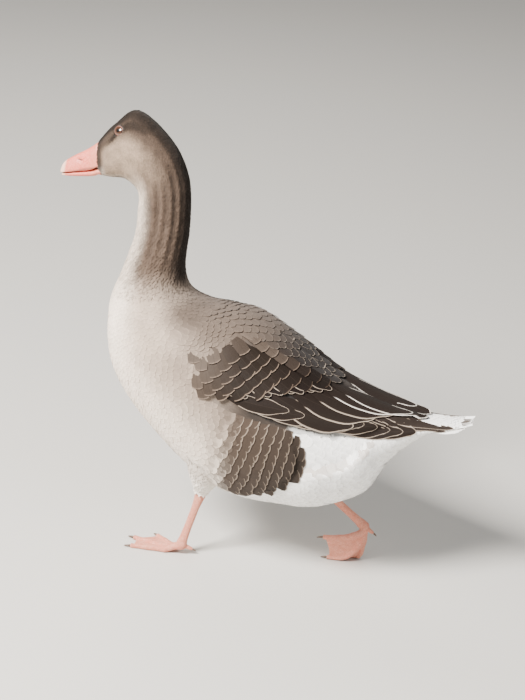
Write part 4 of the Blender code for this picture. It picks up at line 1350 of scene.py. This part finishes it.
def scapulars(side):
    def spacing(place):
        return np.interp(place, (7.9, 9.0, 12.4), (0.0095, 0.0125, 0.0150))

    place, angle = spread_evenly((SCAPULARS_FROM, SCAPULARS_TO), spacing, np.radians([40, 91]))
    chosen = np.degrees(angle) > np.interp(place, (7.7, 8.3, 9.1, 9.7, 10.7), (46, 56, 69, 74, 84))
    place, angle = place[chosen], angle[chosen]
    long = np.interp(place, (7.9, 9.0, 12.3), (0.026, 0.042, 0.062))
    rear = ease(8.7, 9.9, place)
    colours = blend(markings(place, angle), (BACK_GREY, 1 - rear), (DARK_BROWN * 1.3, rear))
    return lay(SCAPULAR, place, angle, long, long * 0.24, colours, heading=np.radians(-4), sway=0.04,
               root_rise=-0.0020, tip_rise=0.0011, lift=(-0.0002, 0.0002), camber=0.0005, cover=wing_cover,
               ragged=0.02, uneven=0.03, edge=blend(colours * 1.08, (FLIGHT_EDGE, rear * 0.5)), edge_mm=1.1,
               side=side, rock=0.02)


coat("coat_scapulars", [scapulars(1), scapulars(-1)], soft_feather, "wing_plumage")


# ---------------------------------------------------------------- tail feathers
# Fourteen stiff quills in a narrow rounded fan, dark grey with white edges and ends. The middle pair
# lie on top, and the white tail coverts close over their roots.
TAIL_QUILL = Pattern(14, 6, 0.45, 0.60, 0.10, crowding=1.3, lined=True)
TAIL_ROOT_Y, TAIL_ROOT_Z, TAIL_LENGTH, TAIL_RISE = 0.2420, 0.2600, 0.0765, 0.0172
TAIL_QUILLS, QUILL_SPACING = 14, 0.0018
TAIL_DARK, TAIL_WHITE = shade(92, 84, 77), shade(238, 236, 232)


def tail_form(along, around):
    """The fan's upper face. Along runs from its root in metres, and around to the right in metres."""
    rise = TAIL_RISE * np.clip(along / TAIL_LENGTH, 0, 1.2) ** 1.2
    return np.stack([-around, TAIL_ROOT_Y + along, TAIL_ROOT_Z + rise - 3.2 * around ** 2], -1)


def tail_quills():
    rank = np.arange(TAIL_QUILLS) - (TAIL_QUILLS - 1) / 2
    rank = rank[np.argsort(-np.abs(rank))]
    outer = np.abs(rank) / rank.max()
    colours = blend(TAIL_DARK, (TAIL_WHITE, ease(0.55, 0.85, outer)))
    return lay(TAIL_QUILL, 0 * rank, rank * QUILL_SPACING, TAIL_LENGTH * (1 - 0.16 * outer ** 2), 0.0088,
               colours, tail_form, heading=rank * np.radians(2.4), turn=rank * np.radians(-0.4),
               root_rise=-0.0004 - 0.0020 * outer, tip_rise=-0.0022 * outer, camber=0.0008, ragged=0.012,
               uneven=0.03, edge=TAIL_WHITE, edge_mm=3.2)


coat("tail_quills", [tail_quills()], vane_feather, "tail_plumage", "tail")


# ---------------------------------------------------------------- stage and camera
# A pale floor and soft studio light. The goose is seen from its left and a little behind, from above,
# with the camera rolled a little.
CAMERA_AZIMUTH, CAMERA_ELEVATION, CAMERA_ROLL = 104.0, 22.0, 4.5
CAMERA_DISTANCE = 3.3
FRAME_WIDTH = 0.76               # metres across the view at the goose
SENSOR = 36.0
FLOOR_HALF_WIDTH = 30.0
# Each lamp: azimuth and elevation, distance, size, power, colour.
LAMPS = {
    "key": (58, 44, 3.0, 0.9, 400, (1.0, 0.965, 0.92)),
    "fill": (150, 30, 3.4, 2.2, 30, (0.90, 0.95, 1.0)),
    "rim": (-60, 40, 3.2, 1.6, 40, (1.0, 0.98, 0.95)),
}
goose_middle = Vector([(low + high) / 2 for low, high in zip(*cad_box)])


def look_from(target, azimuth, elevation, distance, roll=0.0):
    """Stands a lamp or the camera off the goose. Azimuth 0 is in front of the bill, 90 on its left."""
    a, e = math.radians(azimuth), math.radians(elevation)
    back = Vector((math.sin(a) * math.cos(e), -math.cos(a) * math.cos(e), math.sin(e)))
    target.location = goose_middle + back * distance
    facing = back.to_track_quat("Z", "Y").to_matrix() @ Matrix.Rotation(math.radians(roll), 3, "Z")
    target.rotation_euler = facing.to_euler()


work = bmesh.new()
bmesh.ops.create_grid(work, x_segments=1, y_segments=1, size=FLOOR_HALF_WIDTH)
floor = linked("floor", as_mesh("floor", work))
floor.data.materials.append(Finish("floor").set(Base_Color=shade(200, 197, 191), Roughness=0.8))
for name, (azimuth, elevation, distance, size, power, colour) in LAMPS.items():
    lamp = bpy.data.lights.new(name, "AREA")
    lamp.shape = "SQUARE"
    lamp.size, lamp.energy, lamp.color = size, power, colour
    look_from(linked(name, lamp), azimuth, elevation, distance)
world = bpy.data.worlds.new("studio")
world.use_nodes = True
world.node_tree.nodes["Background"].inputs["Color"].default_value = (0.91, 0.90, 0.90, 1)
world.node_tree.nodes["Background"].inputs["Strength"].default_value = 0.34
bpy.context.scene.world = world
camera_data = bpy.data.cameras.new("camera")
camera_data.sensor_fit = "HORIZONTAL"
camera_data.sensor_width = SENSOR
camera_data.lens = SENSOR * CAMERA_DISTANCE / FRAME_WIDTH
camera = linked("camera", camera_data)
look_from(camera, CAMERA_AZIMUTH, CAMERA_ELEVATION, CAMERA_DISTANCE, CAMERA_ROLL)
bpy.context.scene.camera = camera
